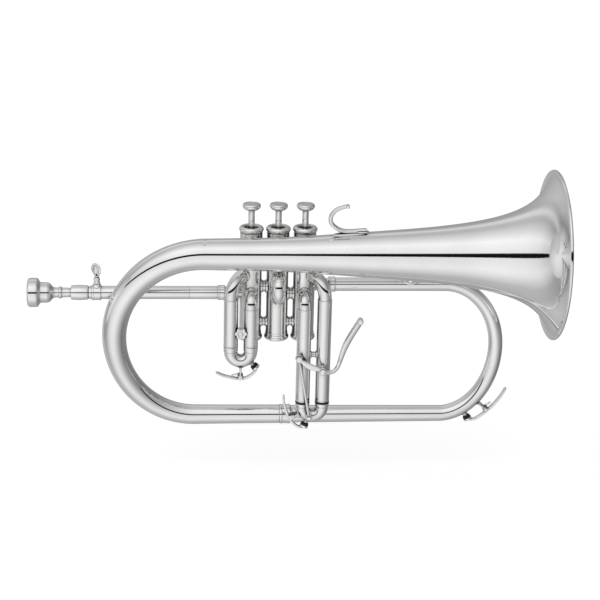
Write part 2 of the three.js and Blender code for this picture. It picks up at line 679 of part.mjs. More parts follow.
// A U-shaped crook with its middle at the origin, its legs up along Z and a band at each join.
function crookGeometry(spacing, legLength, bandLength, bandRadius) {
  const half = spacing / 2;
  const straight = legLength + bandLength;
  const path = [
    line(point(-half, 0, straight), point(-half, 0, 0)),
    new Arc(point(0, 0, 0), point(-half, 0, 0), point(0, 0, -half), Math.PI),
    line(point(half, 0, 0), point(half, 0, straight)),
  ];
  const length = pathLength(path);
  const oneSide = [[0, SLIDE.leg], [legLength, SLIDE.leg], [legLength, bandRadius], [straight, bandRadius]];
  const otherSide = oneSide.map(([distance, radius]) => [length - distance, radius]).reverse();
  const bend = bandRadius === SLIDE.tube ? [] : [[straight, SLIDE.tube], [length - straight, SLIDE.tube]];
  const outside = [...oneSide, ...bend, ...otherSide];
  return tube(path, outside, [[0, SLIDE.legBore], [length, SLIDE.legBore]]);
}

const crookBend = SLIDE.spacing / 2;

// A key's place on a crook whose middle is at centre, at an angle round the bend.
function crookKeyFrame(centre, degrees) {
  const angle = THREE.MathUtils.degToRad(degrees);
  const outward = point(Math.cos(angle), 0, Math.sin(angle));
  const origin = centre.clone().addScaledVector(outward, crookBend);
  return keyFrame(origin, outward, point(-outward.z, 0, outward.x));
}

// The first slide's stay, soldered to the inner leg, with a round boss between the two sleeves.
function bossedStayGeometry(x, z) {
  const half = SLIDE.spacing / 2;
  const filled = (at, radius) => rod(point(at, SLIDE.y, z - 30), point(at, SLIDE.y, z + 30), radius, 16);
  const web = rod(point(x - 6, SLIDE.y, z), point(x + 6, SLIDE.y, z), 2.6);
  const boss = rod(point(x, SLIDE.y - 1, z), point(x, SLIDE.y - 6.8, z), 5.8, 18);
  const stay = join(web, boss);
  return cut(stay, filled(x - half, SLIDE.sleeve + GAP), filled(x + half, SLIDE.sleeve - 0.4));
}

function addFirstSlide() {
  const stay = bossedStayGeometry(-VALVE.pitch - crookBend, -30.9);
  piece('slide_1_inner_leg', join(innerLegGeometry(-1, SLIDE_1_BOTTOM), stay), silver);
  piece('slide_1_outer_leg', outerLegGeometry(-1, SLIDE_1_BOTTOM), silver);
  const centre = point(-VALVE.pitch - crookBend, SLIDE.y, -50);
  const bandLength = SLIDE_1_BOTTOM - GAP - centre.z;
  const crook = crookGeometry(SLIDE.spacing, 30, bandLength, SLIDE.sleeve).translate(...centre);
  const frame = crookKeyFrame(centre, -90);
  piece('slide_1_crook', withSeat(crook, CROOK_KEY, frame), silver);
  waterKey(CROOK_KEY, frame, 'water_key_1', 'water_key_1_cork');
}

function addSecondSlide() {
  const sleeve = (z) => {
    const path = [line(point(0, -6, z), point(0, -16, z))];
    const body = tube(path, [[0, SLIDE.tube], [10, SLIDE.tube]], [[0, SLIDE.bore], [10, SLIDE.bore]]);
    return cut(body, casingShape(0));
  };
  piece('slide_2_lower_leg', sleeve(SLIDE_2_LOW_Z), silver);
  piece('slide_2_upper_leg', sleeve(SLIDE_2_HIGH_Z), silver);
  const spacing = SLIDE_2_HIGH_Z - SLIDE_2_LOW_Z;
  const crook = piece('slide_2_crook', crookGeometry(spacing, 5.8, 0.2, SLIDE.tube), silver);
  crook.position.set(0, -16.5, (SLIDE_2_LOW_Z + SLIDE_2_HIGH_Z) / 2);
  crook.quaternion.setFromAxisAngle(point(1, 1, 1).normalize(), -2 * Math.PI / 3);
}

const BUMPER = { top: SLIDE_3_BOTTOM - GAP, height: 1.6 };

function thirdCrookGeometry(centre, frame) {
  const bandLength = BUMPER.top - BUMPER.height - GAP - centre.z;
  const crook = crookGeometry(SLIDE.spacing, 58, bandLength, SLIDE.sleeve).translate(...centre);
  const [lugX, lugZ] = CROOK_LUG;
  const lug = (from, to, radius) => rod(point(lugX, from, lugZ), point(lugX, to, lugZ), radius);
  const withLug = join(crook, lug(-23.6, -25.6, 2.8), lug(-24, -29.2, 1.3));
  return withSeat(withLug, SIDE_KEY, frame);
}

function addThirdSlide() {
  const outerX = VALVE.pitch + SLIDE.spacing;
  piece('slide_3_inner_leg', innerLegGeometry(1, SLIDE_3_BOTTOM), silver);
  piece('slide_3_outer_leg', outerLegGeometry(1, SLIDE_3_BOTTOM), silver);
  const centre = point(VALVE.pitch + crookBend, SLIDE.y, -104);
  const frame = crookKeyFrame(centre, -152);
  piece('slide_3_crook', thirdCrookGeometry(centre, frame), silver);
  waterKey(SIDE_KEY, frame, 'water_key_3', 'water_key_3_cork');
  const ring = turned([
    [SLIDE.leg + GAP, BUMPER.top - BUMPER.height], [SLIDE.sleeve + 0.2, BUMPER.top - BUMPER.height],
    [SLIDE.sleeve + 0.2, BUMPER.top], [SLIDE.leg + GAP, BUMPER.top],
  ], 12);
  piece('bumper_ring_inner', ring, rubber).position.set(VALVE.pitch, SLIDE.y, 0);
  piece('bumper_ring_outer', ring, rubber).position.set(outerX, SLIDE.y, 0);
  const legShape = (x) => rod(point(x, SLIDE.y, -120), point(x, SLIDE.y, -20), SLIDE.sleeve + GAP, 16);
  const web = rod(point(centre.x - 6, SLIDE.y, -53), point(centre.x + 6, SLIDE.y, -53), 2.6);
  piece('slide_3_brace', cut(web, legShape(VALVE.pitch), legShape(outerX)), silver);
}

// ------------------------------------------------------------------ trigger of the third slide

function eyeGeometry([x, z], y, radius, halfWidth) {
  return rod(point(x, y - halfWidth, z), point(x, y + halfWidth, z), radius);
}

function triggerLeverGeometry() {
  const grip = [[73, -14.5], [66.8, -26.8], [60.8, -39.4], [57.4, -51]];
  const shank = [[58, -48.5], [56.2, -55.6], [53, -62.4], [47.6, -65.4], TRIGGER_PIVOT];
  const [armX, armZ] = TRIGGER_ARM_END;
  const armPin = rod(point(armX, -29.5, armZ), point(armX, -25.8, armZ), 1.2);
  const gripY = LEVER_Y - 1;
  const body = join(
    strap(shank, 3.4, 2.8, LEVER_Y),
    strap(grip, 4.2, 8, gripY),
    eyeGeometry([73, -15.5], gripY, 2.8, 4),
    strap([TRIGGER_PIVOT, [30, -58.6], TRIGGER_ARM_END], 2.6, 2.8, LEVER_Y),
    eyeGeometry(TRIGGER_PIVOT, LEVER_Y, 3.6, 1.6),
    eyeGeometry(TRIGGER_ARM_END, LEVER_Y, 2.6, 1.4),
    armPin,
  );
  return cut(body, eyeGeometry(TRIGGER_PIVOT, LEVER_Y, 1.4 + GAP, 6));
}

// Post on the outer sleeve's front with the lever's pivot screw.
function triggerPostGeometry() {
  const [x, z] = TRIGGER_PIVOT;
  const turnedPost = [[0, 4.4], [2, 3.2], [5.4, 3.2], [5.4, 1.4], [9.4, 1.4], [9.4, 2.7], [10.6, 2.7]];
  const post = bar([line(point(x, -23.2, z), point(x, -33.8, z))], turnedPost);
  const sleeve = rod(point(VALVE.pitch + SLIDE.spacing, SLIDE.y, z - 20),
    point(VALVE.pitch + SLIDE.spacing, SLIDE.y, z + 20), SLIDE.sleeve + GAP, 16);
  return cut(post, sleeve);
}

// Link rod from the lever's arm to the lug on the crook. Its upper eye is 1 mm wide of the pin.
function triggerRodGeometry() {
  const at = ([x, z]) => point(x, ROD_Y, z);
  const body = join(
    rod(at(TRIGGER_ARM_END), at(CROOK_LUG), 1.2, 10),
    eyeGeometry(TRIGGER_ARM_END, ROD_Y, 3.6, 1.1),
    eyeGeometry(CROOK_LUG, ROD_Y, 2.9, 1.1),
  );
  return cut(body, eyeGeometry(TRIGGER_ARM_END, ROD_Y, 2.2, 3), eyeGeometry(CROOK_LUG, ROD_Y, 1.6, 3));
}

function addTrigger() {
  piece('trigger_post', triggerPostGeometry(), silver);
  piece('trigger_lever', triggerLeverGeometry(), silver);
  piece('trigger_rod', triggerRodGeometry(), silver);
}

// ------------------------------------------------------------------ finger hook and braces

// A short oval column through a point, used to trim a soldered foot to shape.
function ovalColumn(at, direction, halfLength, halfWidth) {
  const column = new THREE.CylinderGeometry(1, 1, 15, 12).rotateX(QUARTER);
  column.scale(halfLength, halfWidth, 1);
  column.applyQuaternion(new THREE.Quaternion().setFromUnitVectors(point(0, 0, 1), direction));
  return closed(column.translate(...at));
}

// An oval plate of even thickness that lies on the bell.
const bellFoot = (at, direction, halfLength, halfWidth) =>
  cut(common(ovalColumn(at, direction, halfLength, halfWidth), bellShape(GAP + 1.6)), bellShape(GAP));

function fingerHookGeometry() {
  const footAt = point(62, BELL.y, BELL.z + bellRadius(62));
  const foot = bellFoot(footAt, point(0, 0, 1), 16.4, 5);
  const hookLine = [[76, 67.9], [66, 67.2], [56, 67.2], [48.2, 70], [43, 78], [47.5, 86.6], [59.7, 91]];
  const hook = strap(hookLine, 2.6, 7, BELL.y);
  return cut(join(foot, hook), bellShape(GAP));
}

// Brace between the outlet tube and the bell, on the line between their centres.
function bellBraceGeometry() {
  const x = 121;
  const axis = point(0, BELL.y, BELL.z - BRANCH.z);
  const span = axis.length();
  const direction = axis.clone().normalize();
  const onLine = (distance) => point(x, 0, BRANCH.z).addScaledVector(direction, distance);
  const nearBell = onLine(span - bellRadius(x));
  const pipe = (radius) => rod(point(x - 30, 0, BRANCH.z), point(x + 30, 0, BRANCH.z), radius, 16);
  const column = ovalColumn(onLine(BRANCH.radius), direction, 8, 4);
  const pipeFoot = common(column, pipe(BRANCH.radius + GAP + 1.4));
  const post = rod(onLine(4), onLine(span - bellRadius(x) + 3), 1.9);
  const bellSide = bellFoot(nearBell, direction, 11, 5);
  const body = join(post, pipeFoot, bellSide);
  return cut(body, pipe(BRANCH.radius + GAP), bellShape(GAP));
}

function bowBraceGeometry() {
  const pad = rod(point(-146, -4, -4.5), point(-146, -17, -5.5), 3.8);
  const sleeve = rod(point(-160, 0, 0), point(-120, 0, 0), LEADPIPE_RADIUS + GAP, 16);
  return cut(pad, sleeve, mainBowShape());
}

addBellAndBranches();
addLeadpipe();
addValves();
addFirstSlide();
addSecondSlide();
addThirdSlide();
addTrigger();
piece('finger_hook', fingerHookGeometry(), silver);
piece('bell_brace', bellBraceGeometry(), silver);
piece('bow_brace', bowBraceGeometry(), silver);

export default horn;
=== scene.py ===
"""Looks of a flugelhorn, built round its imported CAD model.

Every piece is made here as a smooth mesh that stands for one CAD node, and rides on that node's body.
Shapes are worked out in millimetres, in the CAD model's frame: +Z up, +X to the bell mouth.
"""
import json
import math

import bmesh
import bpy
from mathutils import Matrix, Vector


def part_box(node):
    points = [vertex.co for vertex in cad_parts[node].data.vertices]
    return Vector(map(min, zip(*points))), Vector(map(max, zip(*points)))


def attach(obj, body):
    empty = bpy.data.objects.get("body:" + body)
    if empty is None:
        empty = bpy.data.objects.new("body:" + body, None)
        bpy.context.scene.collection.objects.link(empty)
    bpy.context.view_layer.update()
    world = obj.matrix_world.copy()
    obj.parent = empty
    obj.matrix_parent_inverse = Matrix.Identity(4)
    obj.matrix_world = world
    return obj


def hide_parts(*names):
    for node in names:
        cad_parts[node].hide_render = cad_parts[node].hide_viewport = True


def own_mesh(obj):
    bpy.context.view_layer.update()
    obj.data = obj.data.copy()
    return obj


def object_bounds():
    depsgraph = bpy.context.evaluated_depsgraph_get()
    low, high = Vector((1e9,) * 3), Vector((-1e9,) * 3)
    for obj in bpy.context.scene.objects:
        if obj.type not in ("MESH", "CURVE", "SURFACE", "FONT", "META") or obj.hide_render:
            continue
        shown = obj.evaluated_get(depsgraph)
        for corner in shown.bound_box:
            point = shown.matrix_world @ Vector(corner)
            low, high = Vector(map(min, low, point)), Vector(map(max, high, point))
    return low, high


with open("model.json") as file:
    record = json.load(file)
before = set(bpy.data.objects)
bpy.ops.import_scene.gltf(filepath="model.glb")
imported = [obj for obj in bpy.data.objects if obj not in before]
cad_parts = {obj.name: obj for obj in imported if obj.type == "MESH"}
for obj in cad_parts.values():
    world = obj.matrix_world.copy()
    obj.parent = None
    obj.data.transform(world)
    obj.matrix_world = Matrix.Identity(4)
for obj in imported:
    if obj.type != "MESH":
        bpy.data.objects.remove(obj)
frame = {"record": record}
cad_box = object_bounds()

MM = 0.001
QUARTER = math.pi / 2
GAP = 0.3
SMOOTH_BELOW = math.radians(40)  # edges bent less than this shade as one surface

BODY_OF = {node: body for body, nodes in frame["record"]["behaviour"]["bodies"].items() for node in nodes}
SLOT_ENDINGS = {"_cork": "black_cork", "_inner": "black_rubber", "_outer": "black_rubber"}
SLOT_STARTS = {"piston": "nickel", "valve_spring": "spring_steel"}


def slot_of(node):
    """The record's slot for a CAD node: silver plate for all but a few."""
    found = [slot for start, slot in SLOT_STARTS.items() if node.startswith(start)]
    found += [slot for ending, slot in SLOT_ENDINGS.items() if node.endswith(ending)]
    return found[0] if found else "silver_plate"


# ---- places taken from the frame

def span(node):
    """Lowest and highest corners of a CAD node, in millimetres."""
    low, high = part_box(node)
    return low / MM, high / MM


def centre_of(node):
    low, high = span(node)
    return (low + high) / 2


BELL_LOW, BELL_HIGH = span("bell")
BELL_AXIS = Vector((0, (BELL_LOW.y + BELL_HIGH.y) / 2, (BELL_LOW.z + BELL_HIGH.z) / 2))
MOUTH_X = BELL_HIGH.x
MOUTH_RADIUS = (BELL_HIGH.z - BELL_LOW.z) / 2
TAIL_X = BELL_LOW.x

VALVE_X = {number: centre_of(f"top_cap_{number}").x for number in (1, 2, 3)}
SLIDE_INNER = centre_of("bumper_ring_inner")
SLIDE_OUTER = centre_of("bumper_ring_outer")
SLIDE_Y = SLIDE_INNER.y
SLIDE_SPACING = SLIDE_OUTER.x - SLIDE_INNER.x
SLIDE_BEND = SLIDE_SPACING / 2
BUMPER_LOW = span("bumper_ring_inner")[0]

# ---- sizes

FLARE_START = 13
FLARE_POWER = 0.497
FLARE_LENGTH = 140
CONE_SLOPE = 0.0724
CONE_END = 240  # depth from the mouth at which the cone gives way to the gentler tail
TAIL_SLOPE = 0.0164
BELL_WALL = 0.7
BEAD_RADIUS = 1.6

BOW_RADII = [10.8, 9.1, 8.6]  # where the tail, the upper and the lower quarter bend end
BOW_APEX_Z = -37.8
BOW_BOTTOM = Vector((-74, 0, -119.5))

BRANCH_Z = 8.05
BRANCH_BEND = Vector((153.1, 0, -52.9))
BRANCH_REACH = 50.2
BRANCH_RADII = [6.2, 6.2, 6.55, 7.4, 8.2]
BRANCH_START = 49.2
SEAT_ANGLE = math.radians(50)  # how far down the right bend its water key sits

CASING_RADIUS = 9.85
IN_CASING_WALL = 9.2  # radius round a valve at which its tubes end
LEADPIPE_RADIUS = 6
PIPE_RADIUS = 5.2
SLEEVE_RADIUS = 6.5
TUBE_RADIUS = 6
LEG_RADIUS = 5.2
LEG_BORE = 4.7
SLEEVE_BORE = 5.5
KNUCKLE_Z = 19
ELBOW_Z = 1.5
ELBOW_BEND = 9.5
KNUCKLE_BEND = 17.5
PADDLE_TURN = math.radians(-38)  # turn of the thumb screw about its own axis
STAY_1_Z = -30.9  # height of the first slide's stay
SLIDE_1_BOTTOM = -44.5
SLIDE_3_BOTTOM = -98
SLIDE_1_MIDDLE = Vector((VALVE_X[1] - SLIDE_BEND, SLIDE_Y, -50))
SLIDE_3_MIDDLE = Vector((VALVE_X[3] + SLIDE_BEND, SLIDE_Y, -104))
PORT_12_Z = 6.3
PORT_23_Z = -0.5
STRUT_Z = -27.5

LEVER_Y = -30.5  # the plane in which the trigger swings
ROD_Y = -27.2
GRIP_TURN = math.radians(14)  # how far the grip's face turns to the right
TRIGGER_PIVOT = Vector((41, 0, -65))
TRIGGER_ARM_END = Vector((19.5, 0, -53.5))
CROOK_LUG = Vector((29.9, 0, -111.8))

ORIGIN = Vector((0, 0, 0))
X_AXIS = Vector((1, 0, 0))
Y_AXIS = Vector((0, 1, 0))
Z_AXIS = Vector((0, 0, 1))


def full_circle(sides):
    return [2 * math.pi * k / sides for k in range(sides)]


# ---- lines and skins

def arc(centre, start, end, angle=QUARTER, steps=40):
    """Points round part of an ellipse, from centre + start and turning towards centre + end."""
    turns = [angle * i / steps for i in range(steps + 1)]
    return [centre + start * math.cos(turn) + end * math.sin(turn) for turn in turns]


def smooth_line(knots, steps=10):
    """A smooth line through the knots, as a row of points."""
    knots = [Vector(knot) for knot in knots]
    padded = [2 * knots[0] - knots[1], *knots, 2 * knots[-1] - knots[-2]]
    points = []
    for a, b, c, d in zip(padded, padded[1:], padded[2:], padded[3:]):
        for i in range(steps):
            t = i / steps
            points.append(0.5 * (2 * b + (c - a) * t + (2 * a - 5 * b + 4 * c - d) * t * t
                                 + (3 * b - a - 3 * c + d) * t ** 3))
    return [*points, knots[-1]]


class Route:
    """A row of points in one plane, with places measured along it."""

    def __init__(self, *parts):
        self.points = []
        for point in (point for part in parts for point in part):
            if not self.points or (point - self.points[-1]).length > 1e-4:
                self.points.append(Vector(point))
        self.marks = [0]
        for a, b in zip(self.points, self.points[1:]):
            self.marks.append(self.marks[-1] + (b - a).length)
        self.length = self.marks[-1]
        steps = [(b - a).normalized() for a, b in zip(self.points, self.points[1:])]
        inner = [(a + b).normalized() for a, b in zip(steps, steps[1:])]
        self.tangents = [steps[0], *inner, steps[-1]]
        self.across = self.plane_normal()

    def plane_normal(self):
        first = self.tangents[0]
        for point in self.points:
            normal = first.cross(point - self.points[0])
            if normal.length > 0.5:
                return normal.normalized()
        helper = Y_AXIS if abs(first.y) < 0.9 else X_AXIS
        return helper.cross(first).normalized()

    def at(self, distance):
        """The point and the direction at a distance along the line; its ends run on straight."""
        if distance <= 0 or distance >= self.length:
            end = 0 if distance <= 0 else -1
            beyond = distance - self.marks[end]
            return self.points[end] + self.tangents[end] * beyond, self.tangents[end]
        i = max(k for k, mark in enumerate(self.marks[:-1]) if mark <= distance)
        share = (distance - self.marks[i]) / (self.marks[i + 1] - self.marks[i])
        tangent = self.tangents[i].lerp(self.tangents[i + 1], share)
        return self.points[i].lerp(self.points[i + 1], share), tangent.normalized()

    def frame_at(self, distance):
        centre, tangent = self.at(distance)
        return centre, self.across.cross(tangent).normalized(), self.across


def skin(rings, wrap=False):
    """Points and faces between rows of points. A row of one point closes an end."""
    points = []
    faces = []
    starts = []
    for ring in rings:
        starts.append(len(points))
        points.extend(ring)
    pairs = list(zip(range(len(rings)), range(1, len(rings))))
    if wrap:
        pairs.append((len(rings) - 1, 0))
    for i, j in pairs:
        sides = max(len(rings[i]), len(rings[j]))
        if sides == 1:
            continue
        for k in range(sides):
            here = [starts[i] + (k + side) % sides for side in (0, 1)] if len(rings[i]) > 1 else [starts[i]]
            there = [starts[j] + (k + side) % sides for side in (1, 0)] if len(rings[j]) > 1 else [starts[j]]
            faces.append([*here, *there])
    return points, faces


def softened(outline, size, wrap):
    """The outline with each corner turned into a small curve."""
    rounded = []
    for i, corner in enumerate(outline):
        before = outline[i - 1] - corner
        after = outline[(i + 1) % len(outline)] - corner
        is_end = not wrap and i in (0, len(outline) - 1)
        if is_end or before.length < 1e-6 or after.length < 1e-6 or before.angle(after) > math.radians(172):
            rounded.append(corner)
            continue
        cut = min(size, 0.45 * before.length, 0.45 * after.length)
        start = corner + before.normalized() * cut
        end = corner + after.normalized() * cut
        for t in (0, 0.25, 0.5, 0.75, 1):
            rounded.append(start * (1 - t) ** 2 + corner * (2 * t * (1 - t)) + end * t * t)
    return rounded


def ring_round(route, distance, radius, sides):
    centre, side, across = route.frame_at(distance)
    if radius < 1e-6:
        return [centre]
    return [centre + side * (radius * math.cos(turn)) + across * (radius * math.sin(turn))
            for turn in full_circle(sides)]


def sweep(route, outline, sides=48, soft=0.35):
    """Turns an outline of [distance, radius] pairs round a route.

    An outline that starts and ends on the route is a solid bar, and any other closes on itself.
    """
    outline = [Vector(pair) for pair in outline]
    wrap = outline[0].y > 0
    outline = softened(outline, soft, wrap)
    stops = []
    following = [*outline[1:], outline[0]] if wrap else outline[1:]
    bends = route.marks if len(route.points) > 2 else []
    for near, far in zip(outline, following):
        stops.append(near)
        low, high = sorted((near.x, far.x))
        between = [mark for mark in bends if low + 0.01 < mark < high - 0.01]
        for mark in sorted(between, reverse=far.x < near.x):
            share = (mark - near.x) / (far.x - near.x)
            stops.append(near.lerp(far, share))
    if not wrap:
        stops.append(outline[-1])
    return skin([ring_round(route, stop.x, stop.y, sides) for stop in stops], wrap)


def turned(start, axis, outline, sides=64, soft=0.35):
    """Turns an outline of [height, radius] pairs about an axis from a point."""
    return sweep(Route([Vector(start), Vector(start) + axis]), outline, sides, soft)


def mirrored(outline):
    """The outline, then its mirror image about height zero in reverse order."""
    return [*outline, *([-height, radius] for height, radius in reversed(outline))]


def on_valve(number, outline, sides, soft=0.35, base=0):
    """An outline turned about a valve's axis, with its heights measured from base."""
    return turned((VALVE_X[number], 0, base), Z_AXIS, outline, sides, soft)


def in_plane(y, pairs):
    """Points in the plane at y, from [x, z] pairs."""
    return [Vector((x, y, z)) for x, z in pairs]


def rod(start, end, radius, sides, soft=0.3):
    """A straight round bar with softened ends."""
    length = (end - start).length
    return sweep(Route([start, end]), [[0, 0], [0, radius], [length, radius], [length, 0]], sides, soft)


def unit_ball(sides=32):
    """A ball of radius one about the origin."""
    turns = [math.pi * i / 16 for i in range(1, 16)]
    outline = [[-math.cos(turn), math.sin(turn)] for turn in turns]
    return turned(ORIGIN, Z_AXIS, [[-1, 0], *outline, [1, 0]], sides, 0)


def tube(route, radii, wall, sides, soft=0.35):
    """A tube whose outside follows [distance, radius] pairs, with an even wall."""
    bore = [[distance, radius - wall] for distance, radius in reversed(radii)]
    return sweep(route, [*radii, *bore], sides, soft)


def bar(route, size_at, sides, squareness, tip):
    """A solid bar with an oval to nearly square section.

    size_at gives half the thickness and half the width at a share of the length, and the last
    tip millimetres at both ends are rounded off.
    """
    steps = max(len(route.points), 30)
    rings = []
    ends = [route.length * (1 - math.cos(math.pi * i / steps)) / 2 for i in range(1, steps)]
    for distance in ends:
        centre, side, across = route.frame_at(distance)
        thick, wide = size_at(distance / route.length)
        near_end = min(distance, route.length - distance)
        if near_end < tip:
            closing = math.sqrt(1 - (1 - near_end / tip) ** 2)
            thick *= math.sqrt(closing)
            wide *= closing
        rings.append([centre + side * x + across * y for x, y in oval(thick, wide, sides, squareness)])
    first = route.at(0)[0]
    last = route.at(route.length)[0]
    return skin([[first], *rings, [last]])


def oval(half_x, half_y, sides, squareness):
    """Corners of a rounded rectangle; squareness 2 is a true ellipse."""
    power = 2 / squareness
    corners = []
    for turn in full_circle(sides):
        c, s = math.cos(turn), math.sin(turn)
        x = math.copysign(abs(c) ** power, c) * half_x
        y = math.copysign(abs(s) ** power, s) * half_y
        corners.append((x, y))
    return corners


def slab(outline, low_y, high_y):
    """A flat plate in the XZ plane with softened edges, from [x, z] corners that bulge outwards."""
    edge = 0.2
    corners = softened([Vector(corner) for corner in outline], 0.6, True)
    middle = sum(corners, Vector((0, 0))) / len(corners)
    rings = []
    for y, inset in ((low_y, edge), (low_y + edge, 0), (high_y - edge, 0), (high_y, edge)):
        pulled = [corner + (middle - corner).normalized() * inset for corner in corners]
        rings.append([Vector((x, y, z)) for x, z in pulled])
    caps = [[Vector((middle.x, y, middle.y))] for y in (low_y, high_y)]
    return skin([caps[0], *rings, caps[1]])


def coil(start, axis, radius, wire, length, turns, sides=10):
    """A helical spring."""
    route = Route([Vector(start), Vector(start) + axis])
    _, side, across = route.frame_at(0)
    points = []
    count = int(turns * 24)
    for i in range(count + 1):
        turn = 2 * math.pi * turns * i / count
        radial = side * math.cos(turn) + across * math.sin(turn)
        points.append((route.points[0] + axis * (length * i / count) + radial * radius, radial))
    rings = [[centre + radial * (wire * math.cos(corner)) + axis * (wire * math.sin(corner))
              for corner in full_circle(sides)] for centre, radial in points]
    return skin([[points[0][0]], *rings, [points[-1][0]]])


def moved(shape, matrix):
    points, faces = shape
    return [matrix @ point for point in points], faces


def fitted(shape, middle, radius, axis=Z_AXIS):
    """A shape whose points near a cylinder are pushed out to its surface."""
    points, faces = shape
    out = []
    for point in points:
        aside = point - middle
        aside -= axis * aside.dot(axis)
        push = radius - aside.length
        out.append(point + aside.normalized() * push if push > 0 else point)
    return out, faces


def fitted_to_casing(shape, near_x):
    """Pushes the end of a tube out into the wall of the nearest valve casing."""
    valve_x = min(VALVE_X.values(), key=lambda x: abs(x - near_x))
    return fitted(shape, X_AXIS * valve_x, IN_CASING_WALL)


def foot(axis, radius_at, x, direction, half_length, half_width, thickness=1.5):
    """A soldered oval plate that lies on a round body along X and thins out at its rim."""
    base = math.atan2(direction.z, direction.y)

    def place(along, around, height):
        radius = radius_at(x + along)
        turn = base + around / radius
        out = Vector((0, math.cos(turn), math.sin(turn)))
        return Vector((x + along, axis.y, axis.z)) + out * (radius + height)

    rings = [[place(0, 0, thickness)]]
    for share in (0.3, 0.5, 0.65, 0.75, 0.82, 0.88, 0.93, 0.97, 0.99, 1):
        fall = max(share - 0.65, 0) / 0.35
        height = thickness * math.sqrt(1 - fall * fall)
        rings.append([place(half_length * share * math.cos(turn), half_width * share * math.sin(turn), height)
                      for turn in full_circle(48)])
    rings.append([place(0, 0, -0.1)])
    return skin(rings)


# ---- materials

def shader(name):
    """A new material, with its node tree and its surface shader."""
    material = bpy.data.materials.new(name)
    material.use_nodes = True
    return material, material.node_tree, material.node_tree.nodes["Principled BSDF"]


def add_node(tree, kind, inputs=None, **settings):
    """A shader node whose inputs are numbers, colours or the sockets that feed them."""
    node = tree.nodes.new(kind)
    for name, value in settings.items():
        setattr(node, name, value)
    for name, value in (inputs or {}).items():
        if isinstance(value, bpy.types.NodeSocket):
            tree.links.new(value, node.inputs[name])
        else:
            node.inputs[name].default_value = value
    return node


def noise(tree, scale, detail=2, stretch=None):
    """Noise in the object's own space; stretch scales the space first."""
    place = add_node(tree, "ShaderNodeTexCoord").outputs["Object"]
    if stretch:
        mapping = add_node(tree, "ShaderNodeMapping", {"Vector": place, "Scale": stretch})
        place = mapping.outputs["Vector"]
    source = add_node(tree, "ShaderNodeTexNoise", {"Vector": place, "Scale": scale, "Detail": detail})
    return source.outputs["Fac"]


def remapped(tree, value, start, end, low, high):
    """A value between start and end, stretched to run from low to high."""
    node = add_node(tree, "ShaderNodeMapRange", {"Value": value, "From Min": start, "From Max": end,
                                                 "To Min": low, "To Max": high})
    return node.outputs["Result"]


def mixed(tree, blend, share, first, second):
    """Two colours blended by a share, which is a socket or a plain number."""
    inputs = {"Factor": share, "A": first, "B": second}
    return add_node(tree, "ShaderNodeMix", inputs, data_type="RGBA", blend_type=blend).outputs["Result"]


def colour_between(tree, factor, low, high):
    ramp = add_node(tree, "ShaderNodeValToRGB", {"Fac": factor})
    for element, position, colour in zip(ramp.color_ramp.elements, (0.35, 0.65), (low, high)):
        element.position = position
        element.color = (*colour, 1)
    return ramp.outputs["Color"]


def finish(name, colours, clouds, rough, grain, relief, bumps, **uniform):
    """A material whose colour, roughness and height each follow a noise.

    clouds, grain and bumps are the noises, colours and rough are the two ends that they run between,
    relief is the bumps' strength and depth, and uniform names plain values of the surface.
    """
    material, tree, surface = shader(name)
    for socket, value in uniform.items():
        surface.inputs[socket.replace("_", " ")].default_value = value
    colour = colour_between(tree, noise(tree, *clouds), *colours)
    tree.links.new(colour, surface.inputs["Base Color"])
    roughness = remapped(tree, noise(tree, *grain), 0.3, 0.7, *rough)
    tree.links.new(roughness, surface.inputs["Roughness"])
    strength, depth = relief
    bump = add_node(tree, "ShaderNodeBump", {"Height": noise(tree, *bumps), "Strength": strength,
                                             "Distance": depth})
    tree.links.new(bump.outputs["Normal"], surface.inputs["Normal"])
    return material


def paint_corner_shade(material, reach, darkest):
    """Paints shade into the metal's colour where surfaces stand close together: painted shade in corners,
    creases and between parts, taken from ambient occlusion.
    """
    tree = material.node_tree
    target = tree.nodes["Principled BSDF"].inputs["Base Color"]
    # painted shade: ambient occlusion within reach darkens the base colour down to darkest
    occlusion_node = add_node(tree, "ShaderNodeAmbientOcclusion", {"Distance": reach}, samples=4)
    unshaded_share = remapped(tree, occlusion_node.outputs["AO"], 0.3, 0.9, darkest, 1)
    tree.links.new(mixed(tree, "MULTIPLY", 1, target.links[0].from_socket, unshaded_share), target)


def silver_plate():
    """Bright silver plate: a mirror with faint clouding and the ripple of hand buffing."""
    colours = (0.93, 0.93, 0.925), (0.965, 0.965, 0.96)
    material = finish("silver_plate", colours, (35, 3), (0.035, 0.065), (60, 4), (0.03, 0.0002), (320, 2),
                      Metallic=1)
    # painted shade: the silver's colour is darkened where parts stand within 8 mm of each other
    paint_corner_shade(material, 0.008, 0.12)
    return material


def nickel():
    """Lapped nickel: duller, with fine lines round the piston."""
    lines = (40, 4, (1, 1, 60))
    colours = (0.66, 0.66, 0.65), (0.74, 0.74, 0.72)
    return finish("nickel", colours, (50, 2), (0.18, 0.34), lines, (0.1, 0.0001), lines, Metallic=1)


def spring_steel():
    colours = (0.3, 0.3, 0.31), (0.55, 0.55, 0.56)
    return finish("spring_steel", colours, (200, 4), (0.22, 0.4), (400, 4), (0.1, 0.0001), (1500, 2),
                  Metallic=1)


def black_rubber():
    colours = (0.006, 0.006, 0.006), (0.016, 0.016, 0.016)
    return finish("black_rubber", colours, (300, 4), (0.45, 0.65), (500, 4), (0.15, 0.0001), (2500, 3))


def black_cork():
    """Dense black cork with pores."""
    colours = (0.004, 0.004, 0.004), (0.02, 0.018, 0.016)
    return finish("black_cork", colours, (900, 4), (0.6, 0.9), (900, 4), (0.4, 0.0002), (1400, 5))


def pearl():
    """Mother of pearl: cloudy cream and grey bands under a polish."""
    bands = (160, 3, (1, 2.4, 1))
    colours = (0.52, 0.53, 0.47), (0.74, 0.73, 0.68)
    return finish("pearl", colours, bands, (0.18, 0.3), (250, 3), (0.05, 0.0001), bands,
                  Coat_Weight=0.6, Coat_Roughness=0.05)


